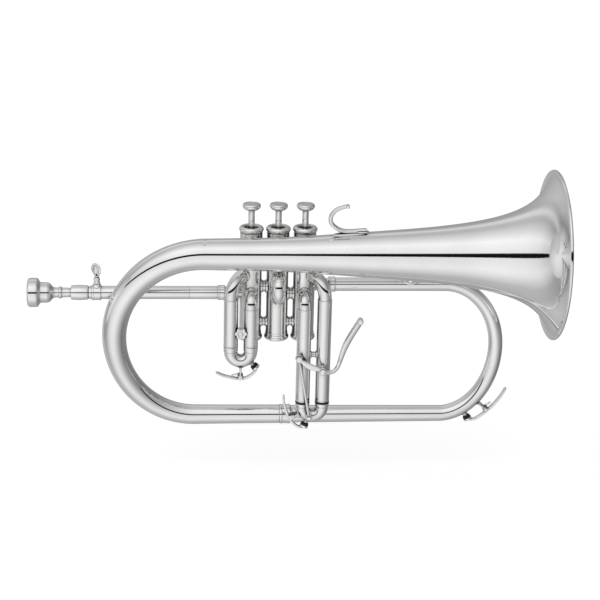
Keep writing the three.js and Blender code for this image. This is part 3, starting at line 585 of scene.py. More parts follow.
def felt():
    """Dark wool felt."""
    colours = (0.012, 0.012, 0.013), (0.05, 0.05, 0.052)
    return finish("felt", colours, (1200, 5), (0.85, 1), (900, 3), (0.8, 0.0003), (3000, 5),
                  Sheen_Weight=0.4)


MATERIALS = {make.__name__: make() for make in
             (silver_plate, nickel, spring_steel, black_rubber, black_cork, pearl, felt)}


# ---- making pieces

def make_object(name, shapes, slot):
    """One mesh object of closed skins, given in millimetres."""
    points = []
    faces = []
    for shape_points, shape_faces in shapes:
        offset = len(points)
        points.extend(Vector(point) * MM for point in shape_points)
        faces.extend([offset + index for index in face] for face in shape_faces)
    mesh = bpy.data.meshes.new(name)
    mesh.from_pydata(points, [], faces)
    work = bmesh.new()
    work.from_mesh(mesh)
    bmesh.ops.recalc_face_normals(work, faces=work.faces)
    work.to_mesh(mesh)
    work.free()
    mesh.shade_smooth()
    mesh.set_sharp_from_angle(angle=SMOOTH_BELOW)
    mesh.materials.append(MATERIALS[slot])
    piece = bpy.data.objects.new(name, mesh)
    bpy.context.scene.collection.objects.link(piece)
    return piece


def stand_for(node, *shapes):
    """The smooth piece that is shown in place of a CAD node."""
    piece = make_object(f"{node}_smooth", shapes, slot_of(node))
    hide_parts(node)
    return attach(piece, BODY_OF[node])


def extra(name, body, slot, *shapes):
    """A small piece that the CAD model leaves out."""
    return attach(make_object(name, shapes, slot), body)


# ---- bell and bows

def rounded_ramp(x, width):
    """Zero, then a slope of one, with the bend spread over width on both sides."""
    if x < -width:
        return 0
    return x if x > width else (x + width) ** 2 / (4 * width)


def bell_radius(x):
    """Outside radius: a power-law flare, then a cone, then a gentler tail."""
    depth = MOUTH_X - x
    flare = MOUTH_RADIUS * (FLARE_START / (FLARE_START + min(depth, FLARE_LENGTH))) ** FLARE_POWER
    cone = CONE_SLOPE * max(depth - FLARE_LENGTH, 0)
    return flare - cone + (CONE_SLOPE - TAIL_SLOPE) * rounded_ramp(depth - CONE_END, 30)


def bell_line(first_depth, offset):
    """Points from near the mouth to the tail, moved inwards by offset."""
    points = []
    length = MOUTH_X - TAIL_X
    count = 90
    for i in range(count):
        x = MOUTH_X - first_depth - (length - first_depth) * (i / (count - 1)) ** 2
        slope = (bell_radius(x + 0.05) - bell_radius(x - 0.05)) / 0.1
        scale = offset / math.hypot(1, slope)
        points.append([x + scale * slope if i < count - 1 else x, bell_radius(x) - scale])
    return points


def bell():
    bead_x = MOUTH_X - BEAD_RADIUS
    bead_middle = MOUTH_RADIUS - BEAD_RADIUS
    turns = [math.radians(210 - 15 * i) for i in range(19)]
    bead = [[bead_x + BEAD_RADIUS * math.cos(turn), bead_middle + BEAD_RADIUS * math.sin(turn)]
            for turn in turns]
    outline = [*reversed(bell_line(2.4, 0)), *bead, *bell_line(1.4, BELL_WALL)]
    stand_for("bell", turned(BELL_AXIS, X_AXIS, outline, 192, 0))


def eased(parts, radii, before=None):
    """Radii that change smoothly between the ends of a route's parts, from a known point before it."""
    steps = 14
    knots = [before, (0, radii[0])] if before else [(0, radii[0])]
    distance = 0
    for part, radius in zip(parts, radii[1:]):
        distance += Route(part).length
        knots.append((distance, radius))
    line = smooth_line([(d, r, 0) for d, r in knots], steps)
    return [[point.x, point.y] for point in line[steps if before else 0:]]


def bow_parts():
    apex_x = span("main_bow")[0].x + BOW_RADII[0]
    join_x = TAIL_X
    join = Vector((join_x, BELL_AXIS.y, BELL_AXIS.z))
    apex_y = BELL_AXIS.y * (BOW_APEX_Z - BOW_BOTTOM.z) / (BELL_AXIS.z - BOW_BOTTOM.z)
    upper = Vector((join_x, apex_y, BOW_APEX_Z))
    lower = Vector((BOW_BOTTOM.x, apex_y, BOW_APEX_Z))
    end = Vector((span("bow_ferrule")[0].x - GAP, 0, BOW_BOTTOM.z))
    return [
        arc(upper, join - upper, Vector((apex_x - join_x, 0, 0)), steps=60),
        arc(lower, Vector((apex_x - BOW_BOTTOM.x, 0, 0)), BOW_BOTTOM - lower, steps=60),
        [BOW_BOTTOM, end],
    ]


def main_bow():
    parts = bow_parts()
    route = Route(*parts)
    route.tangents[0] = -X_AXIS  # so that its end ring lies flat on the bell's tail
    radii = [bell_radius(TAIL_X), *BOW_RADII]
    stand_for("main_bow", tube(route, eased(parts, radii, (-20, bell_radius(TAIL_X + 20))), BELL_WALL, 96, 0))


def bow_ferrule():
    left, right = (corner.x for corner in span("bow_ferrule"))
    bead, band, inside = 9.15, 8.85, 7.8
    outline = [[left, inside], [left, 8.75], [left + 0.7, bead], [left + 2.1, bead], [left + 2.6, band],
               [right - 2.6, band], [right - 2.1, bead], [right - 0.7, bead], [right, 8.6], [right, inside]]
    stand_for("bow_ferrule", turned((0, 0, BOW_BOTTOM.z), X_AXIS, outline))


def branch_parts():
    start = Vector((BRANCH_START, 0, BRANCH_Z))
    bend_start = Vector((BRANCH_BEND.x, 0, BRANCH_Z))
    bend_end = Vector((BRANCH_BEND.x, 0, BOW_BOTTOM.z))
    end = Vector((span("bow_ferrule")[1].x + GAP, 0, BOW_BOTTOM.z))
    right = X_AXIS * BRANCH_REACH
    return [
        [start, bend_start],
        arc(BRANCH_BEND, bend_start - BRANCH_BEND, right, steps=60),
        arc(BRANCH_BEND, right, bend_end - BRANCH_BEND, steps=60),
        [bend_end, end],
    ]


def lower_branch():
    parts = branch_parts()
    route = Route(*parts)
    pipe = tube(route, eased(parts, BRANCH_RADII), 0.6, 72)
    stand_for("lower_branch", pipe, *key_seat(BRANCH_KEY, branch_key_frame()))
    add_water_key(BRANCH_KEY, branch_key_frame(), "main_water_key")


# ---- water keys

# Each key is drawn in its own frame: the tube's centre line under the pivot is the origin, X runs
# towards the cork and Z points away from the tube.
CROOK_KEY = dict(pivot=14.6, tube=TUBE_RADIUS, seat=(0, -SLIDE_BEND), tilt=42, reach=SLIDE_BEND,
                 lever=[(-22.4, 11.2), (-14.7, 14.6), (-6, 16.8), (0, 17.6), (6, 16.2), (11.5, 12.3)])
SIDE_KEY = {**CROOK_KEY, "pivot": 10.6,
            "lever": [(-22.4, 8.8), (-15.5, 12), (-7, 14), (0, 14.6), (6.6, 14), (12, 11.3)]}
BRANCH_KEY = dict(pivot=16.2, tube=6.9, seat=(14.4, -2), tilt=16.3, reach=1,
                  lever=[(-28, 15.9), (-20, 18), (-9, 19.3), (0, 19), (8, 18), (14, 16.4)])
NIPPLE = 2.2
CORK_HEIGHT = 3.2
CORK_RADIUS = 3.5
CUP_HEIGHT = 1.2
KEY_HALF_WIDTH = 3.2
CHEEK = 1
PIN_RADIUS = 0.8
BARREL_RADIUS = 1.9


def cork_point(key, distance):
    """The point at a distance from the tube's surface, along the cork's own axis."""
    tilt = math.radians(key["tilt"])
    out = key["reach"] + key["tube"] + distance
    return Vector((key["seat"][0] + out * math.sin(tilt), 0, key["seat"][1] + out * math.cos(tilt)))


def cork_axis(key):
    return cork_point(key, 1) - cork_point(key, 0)


def key_frame(origin, outward, along):
    side = outward.cross(along)
    matrix = Matrix((along, side, outward)).transposed().to_4x4()
    matrix.translation = origin
    return matrix


def branch_key_frame():
    drop = BRANCH_BEND.z - BOW_BOTTOM.z
    c, s = math.cos(SEAT_ANGLE), math.sin(SEAT_ANGLE)
    origin = BRANCH_BEND + Vector((BRANCH_REACH * c, 0, -drop * s))
    outward = Vector((c / BRANCH_REACH, 0, -s / drop)).normalized()
    return key_frame(origin, outward, Vector((outward.z, 0, -outward.x)))


def crook_key_frame(middle, degrees):
    angle = math.radians(degrees)
    outward = Vector((math.cos(angle), 0, math.sin(angle)))
    return key_frame(middle + outward * SLIDE_BEND, outward, Vector((-outward.z, 0, outward.x)))


def key_seat(key, place):
    """Saddle with two turned posts, the pivot pin and the cork's nipple, soldered to the tube."""
    pivot_z = key["pivot"]
    foot_z = key["tube"] - 1.4
    height = pivot_z - foot_z
    post_y = KEY_HALF_WIDTH + CHEEK / 2

    def across(start, end, *sizes):
        return rod(Vector((0, start, pivot_z)), Vector((0, end, pivot_z)), *sizes)

    post = [[0, 0], [0, 2.2], [0.6, 1.9], [1.6, 1.15], [height - 2.4, 0.74], [height, 0.74], [height, 0]]
    posts = []
    for y in (-post_y, post_y):
        posts.append(turned((0, y, foot_z), Z_AXIS, post, 28, 0.2))
        posts.append(across(y - CHEEK / 2, y + CHEEK / 2, 1.7, 32, 0.25))
    saddle = turned((0, 0, foot_z), Z_AXIS, [[0, 0], [0, 4.8], [0.5, 4.6], [0.9, 3.6], [0.9, 0]], 40, 0.2)
    pin_end = post_y + CHEEK
    pin = across(-pin_end, pin_end, PIN_RADIUS, 24)
    head = across(-pin_end - 0.3, -pin_end + 0.4, 1.3, 24)
    outline = [[0, 0], [0, 3], [1.3, 2.9], [1.9, 2.2], [NIPPLE + 1.2, 2.1], [NIPPLE + 1.2, 0]]
    nipple = turned(cork_point(key, -1.2), cork_axis(key), outline, 40)
    return [moved(shape, place) for shape in (*posts, saddle, pin, head, nipple)]


def key_lever(key):
    """One curved strap from the finger tip to the cork cup, with a hinge barrel under it."""
    cup_start = NIPPLE + CORK_HEIGHT + 2 * GAP
    cup_end = cork_point(key, cup_start + CUP_HEIGHT)
    pivot_z = key["pivot"]
    knots = [(x, 0, z) for x, z in key["lever"]]
    route = Route(smooth_line([*knots, (cup_end.x, 0, cup_end.z)]))
    hinge = 0.6  # share of the strap's length at which it passes the hinge

    def strap_size(t):
        toward_hinge = 1 - abs(t - hinge) / hinge
        return 0.95 + 0.45 * max(toward_hinge, 0), 2.9 - 1.2 * min(t / hinge, 1)

    strap = bar(route, strap_size, 32, 3.5, tip=3)
    half = KEY_HALF_WIDTH - GAP
    barrel_end = [[-half, PIN_RADIUS + 0.1], [-half, BARREL_RADIUS], [1.2 - half, BARREL_RADIUS],
                  [1.5 - half, 1.6]]
    barrel = turned((0, 0, pivot_z), Y_AXIS, mirrored(barrel_end), 32, 0.2)
    strap_z = key["lever"][3][1]
    web_outline = [(-1.6, pivot_z + 1), (1.6, pivot_z + 1), (2.6, strap_z), (-2.6, strap_z)]
    webs = [slab(web_outline, y, y + 0.9) for y in (-half, half - 0.9)]
    inside = CORK_RADIUS + 0.12
    lip = CORK_RADIUS + 0.4
    outline = [[-1.4, inside], [-1.4, lip], [0.6, lip], [CUP_HEIGHT, lip - 0.9], [CUP_HEIGHT + 0.25, 0.4],
               [CUP_HEIGHT, 0.2], [0, 0.2], [0, inside]]
    cup = turned(cork_point(key, cup_start), cork_axis(key), outline, 48, 0.3)
    return [strap, barrel, *webs, cup]


def key_spring(key):
    """Two small coils round the pin and the tails that press on the lever and the tube."""
    pivot = Vector((0, 0, key["pivot"]))
    coils = [coil(pivot + Y_AXIS * start, Y_AXIS, 2.35, 0.28, 1.5, 3, 8) for start in (-2.6, 1.1)]
    tails = [rod(pivot + Vector((-1.5, y, -1.9)), pivot + Vector((-8, y * 0.5, -0.6)), 0.28, 8, 0.1)
             for y in (-1.9, 1.9)]
    return [*coils, *tails]


def add_water_key(key, place, node):
    stand_for(node, *[moved(shape, place) for shape in key_lever(key)])
    near = cork_point(key, NIPPLE + GAP)
    far = cork_point(key, NIPPLE + GAP + CORK_HEIGHT)
    stand_for(f"{node}_cork", moved(rod(near, far, CORK_RADIUS, 48, 0.35), place))
    spring = [moved(shape, place) for shape in key_spring(key)]
    extra(f"{node}_spring", BODY_OF[node], "spring_steel", *spring)


# ---- mouthpiece and leadpipe

def mouthpiece():
    """Rim, cup and stem, drawn from the rim's face."""
    outside = [[0, 10.4], [0.1, 11.6], [0.9, 12.7], [2.4, 13.2], [7.8, 13.2], [9.3, 12.8], [10.2, 11.6],
               [10.8, 10.1], [11.8, 9.3], [17.8, 9.2], [20, 8.4], [21.6, 6.6], [23, 5], [25.2, 4.55],
               [27.6, 4.6], [28.2, 5.3], [28.8, 5.55], [29.8, 5.5], [30.5, 5.1], [31, 4.5], [35.2, 4.35],
               [56.2, 3.9]]
    bore = [[56.2, 3.3], [26.2, 1.95], [21.2, 1.95], [16.2, 4], [12.2, 5.8], [8.2, 7.2], [5.2, 8.1],
            [2.2, 8.7], [0.6, 9.4]]
    start = X_AXIS * span("mouthpiece")[0].x
    stand_for("mouthpiece", turned(start, X_AXIS, [*outside, *bore], 96, 0.8))


def mouthpipe():
    """Bulged receiver and inner pipe, drawn from the receiver's open end."""
    low, high = span("mouthpipe")
    end = high.x - low.x
    outline = [[0, 4.8], [0, 6.2], [0.9, 6.5], [4, 6.75], [7.5, 6.95], [11, 6.8], [14.1, 6.55], [15.5, 6.2],
               [15.5, PIPE_RADIUS], [end, PIPE_RADIUS], [end, 4.6], [17.5, 4.6]]
    stand_for("mouthpipe", turned(X_AXIS * low.x, X_AXIS, outline, 64, 0.5))


def leadpipe_sleeve():
    left, right = (corner.x for corner in span("leadpipe_sleeve"))
    joint = -79  # a thin groove where the sleeve's stiffening tube ends
    radius = LEADPIPE_RADIUS
    outline = [[left, SLEEVE_BORE], [left, radius], [joint - 0.35, radius], [joint - 0.2, radius - 0.18],
               [joint + 0.2, radius - 0.18], [joint + 0.35, radius], [right, radius], [right, SLEEVE_BORE]]
    stand_for("leadpipe_sleeve", turned(ORIGIN, X_AXIS, outline, 64, 0.15))


def clamp_band():
    low, high = span("clamp_band")
    x = (low.x + high.x) / 2
    half = (high.x - low.x) / 2
    end = [[-half, LEADPIPE_RADIUS + GAP], [-half, 6.85], [-half + 0.5, 7.1], [-half + 1.3, 7.1],
           [-half + 1.7, 6.9]]
    ring = turned((x, 0, 0), X_AXIS, mirrored(end), 64, 0.25)
    boss = [[0, 1.5], [0, 4.6], [1.2, 3.9], [2.6, 3.2], [4.6, 2.7], [6, 2.5], [6.4, 3], [7.4, 3],
            [7.8, 2.5], [9, 2.3], [9, 1.5]]
    stand_for("clamp_band", ring, turned((x + 0.45, 0, 5.6), Z_AXIS, boss, 40, 0.3))


def clamp_screw():
    """Thumb screw: shank, turned shoulder and a rounded paddle, hollowed a little in its middle."""
    low, high = span("clamp_screw")
    x = -162.3
    shank = rod(Vector((x, 0, low.z)), Vector((x, 0, 16)), 1.2, 24)
    shoulder = [[0, 0], [0, 1.9], [0.8, 2.1], [1.6, 1.9], [2.6, 1.5], [3.4, 1.3], [3.4, 0]]
    half_width = 5.6
    half_height = (high.z - 15.6) / 2
    lean = Matrix.Rotation(-0.1, 4, "Y") @ Matrix.Rotation(PADDLE_TURN, 4, "Z")
    place = Matrix.Translation((x - 0.4, 0, 15.4 + half_height)) @ lean
    points, faces = unit_ball(40)

    def shaped(point):
        edge = math.hypot(point.x, point.z)
        thickness = 1.1 - 0.25 * max(0, 1 - (edge / 0.75) ** 2)
        y = math.copysign(abs(point.y) ** 0.75, point.y) * thickness
        return Vector((point.x * half_width, y, point.z * half_height))

    paddle = moved(([shaped(point) for point in points], faces), place)
    stand_for("clamp_screw", shank, turned((x, 0, 15), Z_AXIS, shoulder, 32), paddle)


def port_ferrule(node, tube_radius, z, sign):
    """A beaded band over a tube's end and the short port into the valve casing."""
    low, high = span(node)
    start = low.x if sign > 0 else high.x
    band = tube_radius + 0.75
    bead = tube_radius + 0.95
    length = high.x - low.x + 1.2
    outline = [[0, tube_radius - 0.1], [0, band - 0.2], [0.5, bead], [1.3, bead], [1.7, band], [4.5, band],
               [4.9, bead], [5.8, bead], [6.3, band - 0.5], [6.9, 5.6], [length, 5.6], [length, 4.6],
               [4, 4.6], [4, tube_radius - 0.1]]
    ferrule = turned((start, 0, z), X_AXIS * sign, outline, 64, 0.3)
    stand_for(node, fitted_to_casing(ferrule, start + sign * length))


def bell_pipe_brace():
    """Brace between the outlet tube and the bell, on the line between their centres."""
    x = centre_of("bell_brace").x
    pipe_axis = Vector((0, 0, BRANCH_Z))
    direction = (BELL_AXIS - pipe_axis).normalized()
    reach = (BELL_AXIS - pipe_axis).length - bell_radius(x)
    base = BRANCH_RADII[0]
    waist = (base + reach) / 2
    outline = [[base - 1, 0], [base - 1, 3.6], [base + 1.6, 3.2], [base + 2.6, 2.2],
               [waist - 1, 1.7], [waist, 2.2], [waist + 1, 1.7],
               [reach - 2.6, 2.2], [reach - 1.5, 3.4], [reach + 0.6, 3.8], [reach + 0.6, 0]]
    post = turned((x, 0, BRANCH_Z), direction, outline, 40, 0.5)
    pipe_foot = foot(pipe_axis, lambda at: base, x, direction, 8, 4.2, 1.2)
    bell_foot = foot(BELL_AXIS, bell_radius, x, -direction, 11, 5)
    stand_for("bell_brace", post, pipe_foot, bell_foot)


def bow_brace():
    outline = [[0, 0], [0, 4], [3.4, 3.8], [4.6, 2.8], [6, 2.6], [8, 3], [12, 4.4], [12, 0]]
    direction = Vector((0, -1, -0.08)).normalized()
    pad = turned((-146, -2, -4.4), direction, outline, 40, 0.6)
    stand_for("bow_brace", fitted(pad, ORIGIN, LEADPIPE_RADIUS - 0.25, X_AXIS))


def finger_hook():
    """Oval foot on the bell and a strap that curls back over the little finger."""
    y = BELL_AXIS.y
    knots = in_plane(y, [(76.5, 68.4), (70, 67.9), (63, 67.3), (56, 67.5), (49.8, 69.9), (44.8, 74.8),
                         (44.3, 81), (48.4, 86.4), (54, 89), (58.8, 90.2)])

    def strap_size(t):
        return 1.6 + 0.3 * math.sin(math.pi * t), 3.5 - 0.9 * t

    strap = bar(Route(smooth_line(knots)), strap_size, 36, 2.4, 1.5)
    bead = rod(Vector((59, y - 3, 89.9)), Vector((59, y + 3, 89.9)), 1.6, 28, 0.6)
    plate = foot(BELL_AXIS, bell_radius, 62, Z_AXIS, 16.4, 4.6, 1.5)
    toe_tilt = Matrix.Rotation(math.radians(-16), 4, "X")
    toe_place = Matrix.Translation((72.4, y - 3.1, 68.1)) @ toe_tilt @ Matrix.Diagonal((5.6, 0.5, 1.9, 1))
    toe = moved(unit_ball(), toe_place)
    stand_for("finger_hook", plate, strap, bead, toe)


# ---- valves

def valve_casing(number):
    inside = 8.6
    neck = 9.2
    body = CASING_RADIUS
    outline = [[-42, inside], [-42, neck], [-38.7, neck], [-38.7, body + 0.35], [-36.9, body + 0.35],
               [-36.5, body], [49.8, body], [50.2, body + 0.3], [51.7, body + 0.3],
               [51.7, neck], [57.6, neck], [57.6, inside]]
    shapes = [on_valve(number, outline, 72, 0.25)]
    if number != 2:
        strut = [[0, 0], [0, 3.6], [1.8, 3], [4, 2.6], [7.6, 3.4], [8, 0]]
        shapes.append(turned((VALVE_X[number], -8.5, 45), -Y_AXIS, strut, 32))
    stand_for(f"valve_casing_{number}", *shapes)


def knurled(number, outline, low, high):
    """A body on a valve's axis, with fine teeth cut into its rim between two heights."""
    teeth = 60
    depth = 0.5
    middle = Vector((VALVE_X[number], 0, 0))
    points, faces = on_valve(number, outline, teeth * 4, 0.2)

    def toothed(point):
        out = Vector((point.x - middle.x, point.y, 0))
        if not (low <= point.z <= high and out.length > 9.8):
            return point
        turn = math.atan2(out.y, out.x)
        kept = 1 - depth * (0.5 + 0.5 * math.cos(turn * teeth)) / out.length
        return middle + out * kept + Z_AXIS * point.z

    return [toothed(point) for point in points], faces


def top_cap(number):
    """Screwed cap with a rolled lip, a knurled skirt and a felt ring in its dished top."""
    low, high = span(f"top_cap_{number}")
    rim = (high.x - low.x) / 2
    lip_height = 2.5
    lip_width = 2.6
    lip_z = high.z + 1.1 - lip_height
    turns = [math.radians(degrees) for degrees in range(-90, 181, 15)]
    lip = [[lip_z + lip_height * math.sin(turn), rim - lip_width + lip_width * math.cos(turn)]
           for turn in turns]
    outline = [[58, 3.4], [58, 9.5], [low.z, 9.5], [low.z, 10.1], [57.3, 10.1], [57.6, 9.4], *lip,
               [60, 6.2], [60, 3.4]]
    stand_for(f"top_cap_{number}", knurled(number, outline, low.z + 0.5, 57))
    ring = [[60, 3.3], [60, 6.3], [60.5, 6.2], [60.65, 5.8], [60.65, 3.5]]
    extra(f"cap_felt_{number}", BODY_OF[f"top_cap_{number}"], "felt", on_valve(number, ring, 64, 0.2))


def bottom_cap(number):
    low, high = span(f"bottom_cap_{number}")
    top = high.z - low.z
    outline = [[0, 1.6], [0, 7.6], [0.5, 9], [1.1, 10.4], [2, 11.1], [3.2, 11.25], [4.3, 11], [5.1, 10.4],
               [top, 10], [top, 9.5], [1.4, 9.5], [1.4, 1.6]]
    stand_for(f"bottom_cap_{number}", on_valve(number, outline, 96, base=low.z))


def valve_stem(number):
    low, high = span(f"valve_stem_{number}")
    top = high.z - low.z
    outline = [[0, 0], [0, 7], [2.6, 7], [2.6, 3.4], [3.4, 2.9], [top - 2.4, 2.9], [top - 1.2, 3.15],
               [top, 3.4], [top, 0]]
    stand_for(f"valve_stem_{number}", on_valve(number, outline, 48, 0.4, low.z))


def finger_button(number):
    """A thick rounded silver button, set with a domed pearl. Heights are measured from its top."""
    low, high = span(f"finger_button_{number}")
    radius = (high.x - low.x) / 2
    outline = [[-6.4, 0], [-6.4, 3.2], [-6, 4.8], [-5.2, 6.3], [-4.2, 7.4], [-3.2, radius - 0.2],
               [-2.2, radius], [-1.4, radius - 0.1], [-0.7, radius - 0.45], [-0.25, radius - 0.9],
               [-0.15, radius - 1.2], [-0.4, radius - 1.5], [-1.2, radius - 1.6], [-1.2, 0]]
    stand_for(f"finger_button_{number}", on_valve(number, outline, 72, 0.4, high.z))
    disc = radius - 1.65
    turns = [QUARTER * i / 8 for i in range(1, 8)]
    dome = [[-0.5 + 0.42 * math.sin(turn), disc * math.cos(turn)] for turn in turns]
    dome = [[-1.1, 0], [-1.1, disc], [-0.55, disc], *dome, [-0.08, 0]]
    inlay = on_valve(number, dome, 64, 0.15, high.z)
    extra(f"pearl_{number}", BODY_OF[f"finger_button_{number}"], "pearl", inlay)


def piston(number):
    """A piston, hollow at both ends. Its passages can't be seen in the casing and are left out."""
    low, high = span(f"piston_{number}")
    outline = [[low.z + 10, 0], [low.z + 10, 7.2], [low.z, 7.2], [low.z, 8.3], [high.z, 8.3], [high.z, 7.3],
               [high.z - 22, 7.3], [high.z - 22, 0]]
    stand_for(f"piston_{number}", on_valve(number, outline, 64, 0.3))


def valve_spring(number):
    low, high = span(f"valve_spring_{number}")
    x = VALVE_X[number]
    wire = 0.45
    length = high.z - low.z
    spring = coil((x, 0, low.z + wire), Z_AXIS, 6, wire, length - 2 * wire, 7)
    piece = stand_for(f"valve_spring_{number}", spring)
    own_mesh(piece)


def casing_link(node, z, radius):
    """A short tube between two casings, with a soldered ring at each end."""
    x = centre_of(node).x
    half = (VALVE_X[2] - VALVE_X[1]) / 2 - CASING_RADIUS + 1.2
    end = [[-half, 0], [-half, radius + 1], [-half + 1.9, radius + 0.9], [-half + 2.3, radius]]
    stand_for(node, turned((x, 0, z), X_AXIS, mirrored(end), 56, 0.4))


# ---- valve slides

def sleeve_outline(length, sleeve_top):
    """Outside of a leg: a bent tube, a thin ring, then the wider slide sleeve."""
    step = length - sleeve_top
    ring = SLEEVE_RADIUS + 0.12
    return [[0, TUBE_RADIUS], [step, TUBE_RADIUS], [step, ring], [step + 1, ring],
            [step + 1.3, SLEEVE_RADIUS], [length - 1.2, SLEEVE_RADIUS], [length - 0.9, ring],
            [length, SLEEVE_RADIUS + 0.1]]


def leg(node, parts, sleeve_top, bottom, *soldered):
    """A bent tube with a soldered collar, its upper end fitted into the wall of its valve casing."""
    route = Route(*parts)
    outside = sleeve_outline(route.length, sleeve_top - bottom)
    rim = TUBE_RADIUS + 0.7
    collar = sweep(route, [[2.2, 0], [2.2, rim], [4.4, rim], [4.8, TUBE_RADIUS], [4.8, 0]])
    bore = [[route.length, SLEEVE_BORE], [0, SLEEVE_BORE]]
    shapes = [sweep(route, [*outside, *bore], 56, 0.25), collar]
    stand_for(node, *(fitted_to_casing(shape, route.points[0].x) for shape in shapes), *soldered)


def inner_leg(node, side, bottom, *soldered):
    """The leg straight in front of its valve: out of the casing, round an elbow and down."""
    x = VALVE_X[2 + side]
    bend = ELBOW_BEND
    elbow = Vector((x, SLIDE_Y + bend, ELBOW_Z - bend))
    parts = [
        [Vector((x, -7, ELBOW_Z)), Vector((x, SLIDE_Y + bend, ELBOW_Z))],
        arc(elbow, Z_AXIS * bend, Y_AXIS * -bend),
        [elbow - Y_AXIS * bend, Vector((x, SLIDE_Y, bottom))],
    ]
    leg(node, parts, -9, bottom, *soldered)


def outer_leg(node, side, bottom):
    """The leg beside its valve: a long knuckle turns down from the casing's front corner."""
    valve_x = VALVE_X[2 + side]
    reach = math.hypot(SLIDE_SPACING, SLIDE_Y)
    away = Vector((side * SLIDE_SPACING / reach, SLIDE_Y / reach, 0))
    bend = KNUCKLE_BEND
    start = Vector((valve_x, 0, KNUCKLE_Z))
    centre = start + away * (reach - bend) - Z_AXIS * bend
    parts = [
        [start + away * 6, start + away * (reach - bend)],
        arc(centre, Z_AXIS * bend, away * bend),
        [centre + away * bend, Vector((valve_x + side * SLIDE_SPACING, SLIDE_Y, bottom))],
    ]
    leg(node, parts, 0, bottom)


def sleeve_stay(middle):
    """A short round stay whose flared ends are soldered to the two sleeves of a slide."""
    half = SLIDE_SPACING / 2 - SLEEVE_RADIUS + 1
    end = [[-half, 0], [-half, 3.9], [-half + 1.3, 3.6], [-half + 1.9, 2.6]]
    return turned(middle, X_AXIS, mirrored(end), 48, 0.4)


def lobed_boss(middle):
    """The boss with six rounded lobes in the middle of the first slide's stay."""
    outline = [[1, 0], [1, 5], [5.4, 5.7], [6.1, 5.8], [6.5, 5.4], [6.7, 4.6], [6.6, 3.4], [6.3, 2.6],
               [6.4, 1.8], [6.75, 1], [6.8, 0]]
    points, faces = turned(middle, -Y_AXIS, outline, 96, 0.1)

    def lobed(point):
        out = point - middle
        depth = out.y
        out.y = 0
        valley = 0.5 - 0.5 * math.cos(6 * math.atan2(out.z, out.x))
        return middle + out * (1 - 0.2 * valley * min(1, out.length / 3)) + Y_AXIS * depth

    boss = [lobed(point) for point in points], faces
    for side in (-1, 1):
        boss = fitted(boss, middle + X_AXIS * (side * SLIDE_BEND), SLEEVE_RADIUS - 0.5)
    return boss


def crook_route(middle, spacing, straight, right=X_AXIS, down=-Z_AXIS):
    half = right * (spacing / 2)
    return Route([middle - half - down * straight, middle - half],
                 arc(middle, -half, down * (spacing / 2), math.pi, 60),
                 [middle + half, middle + half - down * straight])


def crook_outline(route, leg_length, straight, band_radius):
    length = route.length
    one_side = [[0, LEG_RADIUS], [leg_length, LEG_RADIUS], [leg_length, band_radius],
                [max(straight - 1, leg_length), band_radius], [straight, TUBE_RADIUS + 0.05]]
    other_side = [[length - distance, radius] for distance, radius in reversed(one_side)]
    return [*one_side, *other_side, [length, LEG_BORE], [0, LEG_BORE]]


def slide_1_crook():
    middle = SLIDE_1_MIDDLE
    leg_length = 30
    straight = leg_length + SLIDE_1_BOTTOM - GAP - middle.z
    route = crook_route(middle, SLIDE_SPACING, straight)
    outline = crook_outline(route, leg_length, straight, SLEEVE_RADIUS)
    place = crook_key_frame(middle, -90)
    stand_for("slide_1_crook", sweep(route, outline, 56, 0.25), *key_seat(CROOK_KEY, place))
    add_water_key(CROOK_KEY, place, "water_key_1")


def slide_2():
    x = VALVE_X[2]
    low = centre_of("slide_2_lower_leg")
    high = centre_of("slide_2_upper_leg")
    for node, z in (("slide_2_lower_leg", low.z), ("slide_2_upper_leg", high.z)):
        end = -span(node)[0].y
        outline = [[7, SLEEVE_BORE], [7, TUBE_RADIUS + 0.4], [end - 2, TUBE_RADIUS + 0.4],
                   [end - 1.6, TUBE_RADIUS + 0.7], [end, TUBE_RADIUS + 0.6], [end, SLEEVE_BORE]]
        tube_shape = turned((x, 0, z), -Y_AXIS, outline, 56, 0.25)
        stand_for(node, fitted_to_casing(tube_shape, x))
    middle = Vector((x, -16.5, (low.z + high.z) / 2))
    route = crook_route(middle, high.z - low.z, 6, Z_AXIS, -Y_AXIS)
    outline = crook_outline(route, 5.8, 6, TUBE_RADIUS)
    stand_for("slide_2_crook", sweep(route, outline, 56, 0.25))


def slide_3_crook():
    middle = SLIDE_3_MIDDLE
    leg_length = 58
    straight = leg_length + BUMPER_LOW.z - GAP - middle.z
    route = crook_route(middle, SLIDE_SPACING, straight)
    outline = crook_outline(route, leg_length, straight, SLEEVE_RADIUS)
    place = crook_key_frame(middle, -152)
    lug_start = Vector((CROOK_LUG.x, -23.4, CROOK_LUG.z))
    lug = [[0, 0], [0, 3.1], [1.4, 2.9], [2.2, 2.2], [2.2, 1.3], [5.3, 1.3], [5.5, 0]]
    screw = [[5.2, 0], [5.2, 2], [6.1, 2], [6.4, 1.2], [6.4, 0]]
    fittings = [turned(lug_start, -Y_AXIS, shape, 32, 0.2) for shape in (lug, screw)]
    stand_for("slide_3_crook", sweep(route, outline, 56, 0.25), *fittings, *key_seat(SIDE_KEY, place))
    add_water_key(SIDE_KEY, place, "water_key_3")


def bumper_ring(node):
    """A rubber ring with a round section, held between the sleeve and the crook."""
    low, high = span(node)
    middle = (low + high) / 2
    outer = (high.x - low.x) / 2
    inner = LEG_RADIUS + GAP
    half = (outer - inner) / 2
    tall = (high.z - low.z) / 2
    outline = [[middle.z + tall * math.sin(turn), inner + half + half * math.cos(turn)]
               for turn in full_circle(16)]
    stand_for(node, turned((middle.x, middle.y, 0), Z_AXIS, outline, 64, 0))


# ---- trigger of the third slide

def at_y(point, y):
    return Vector((point.x, y, point.z))


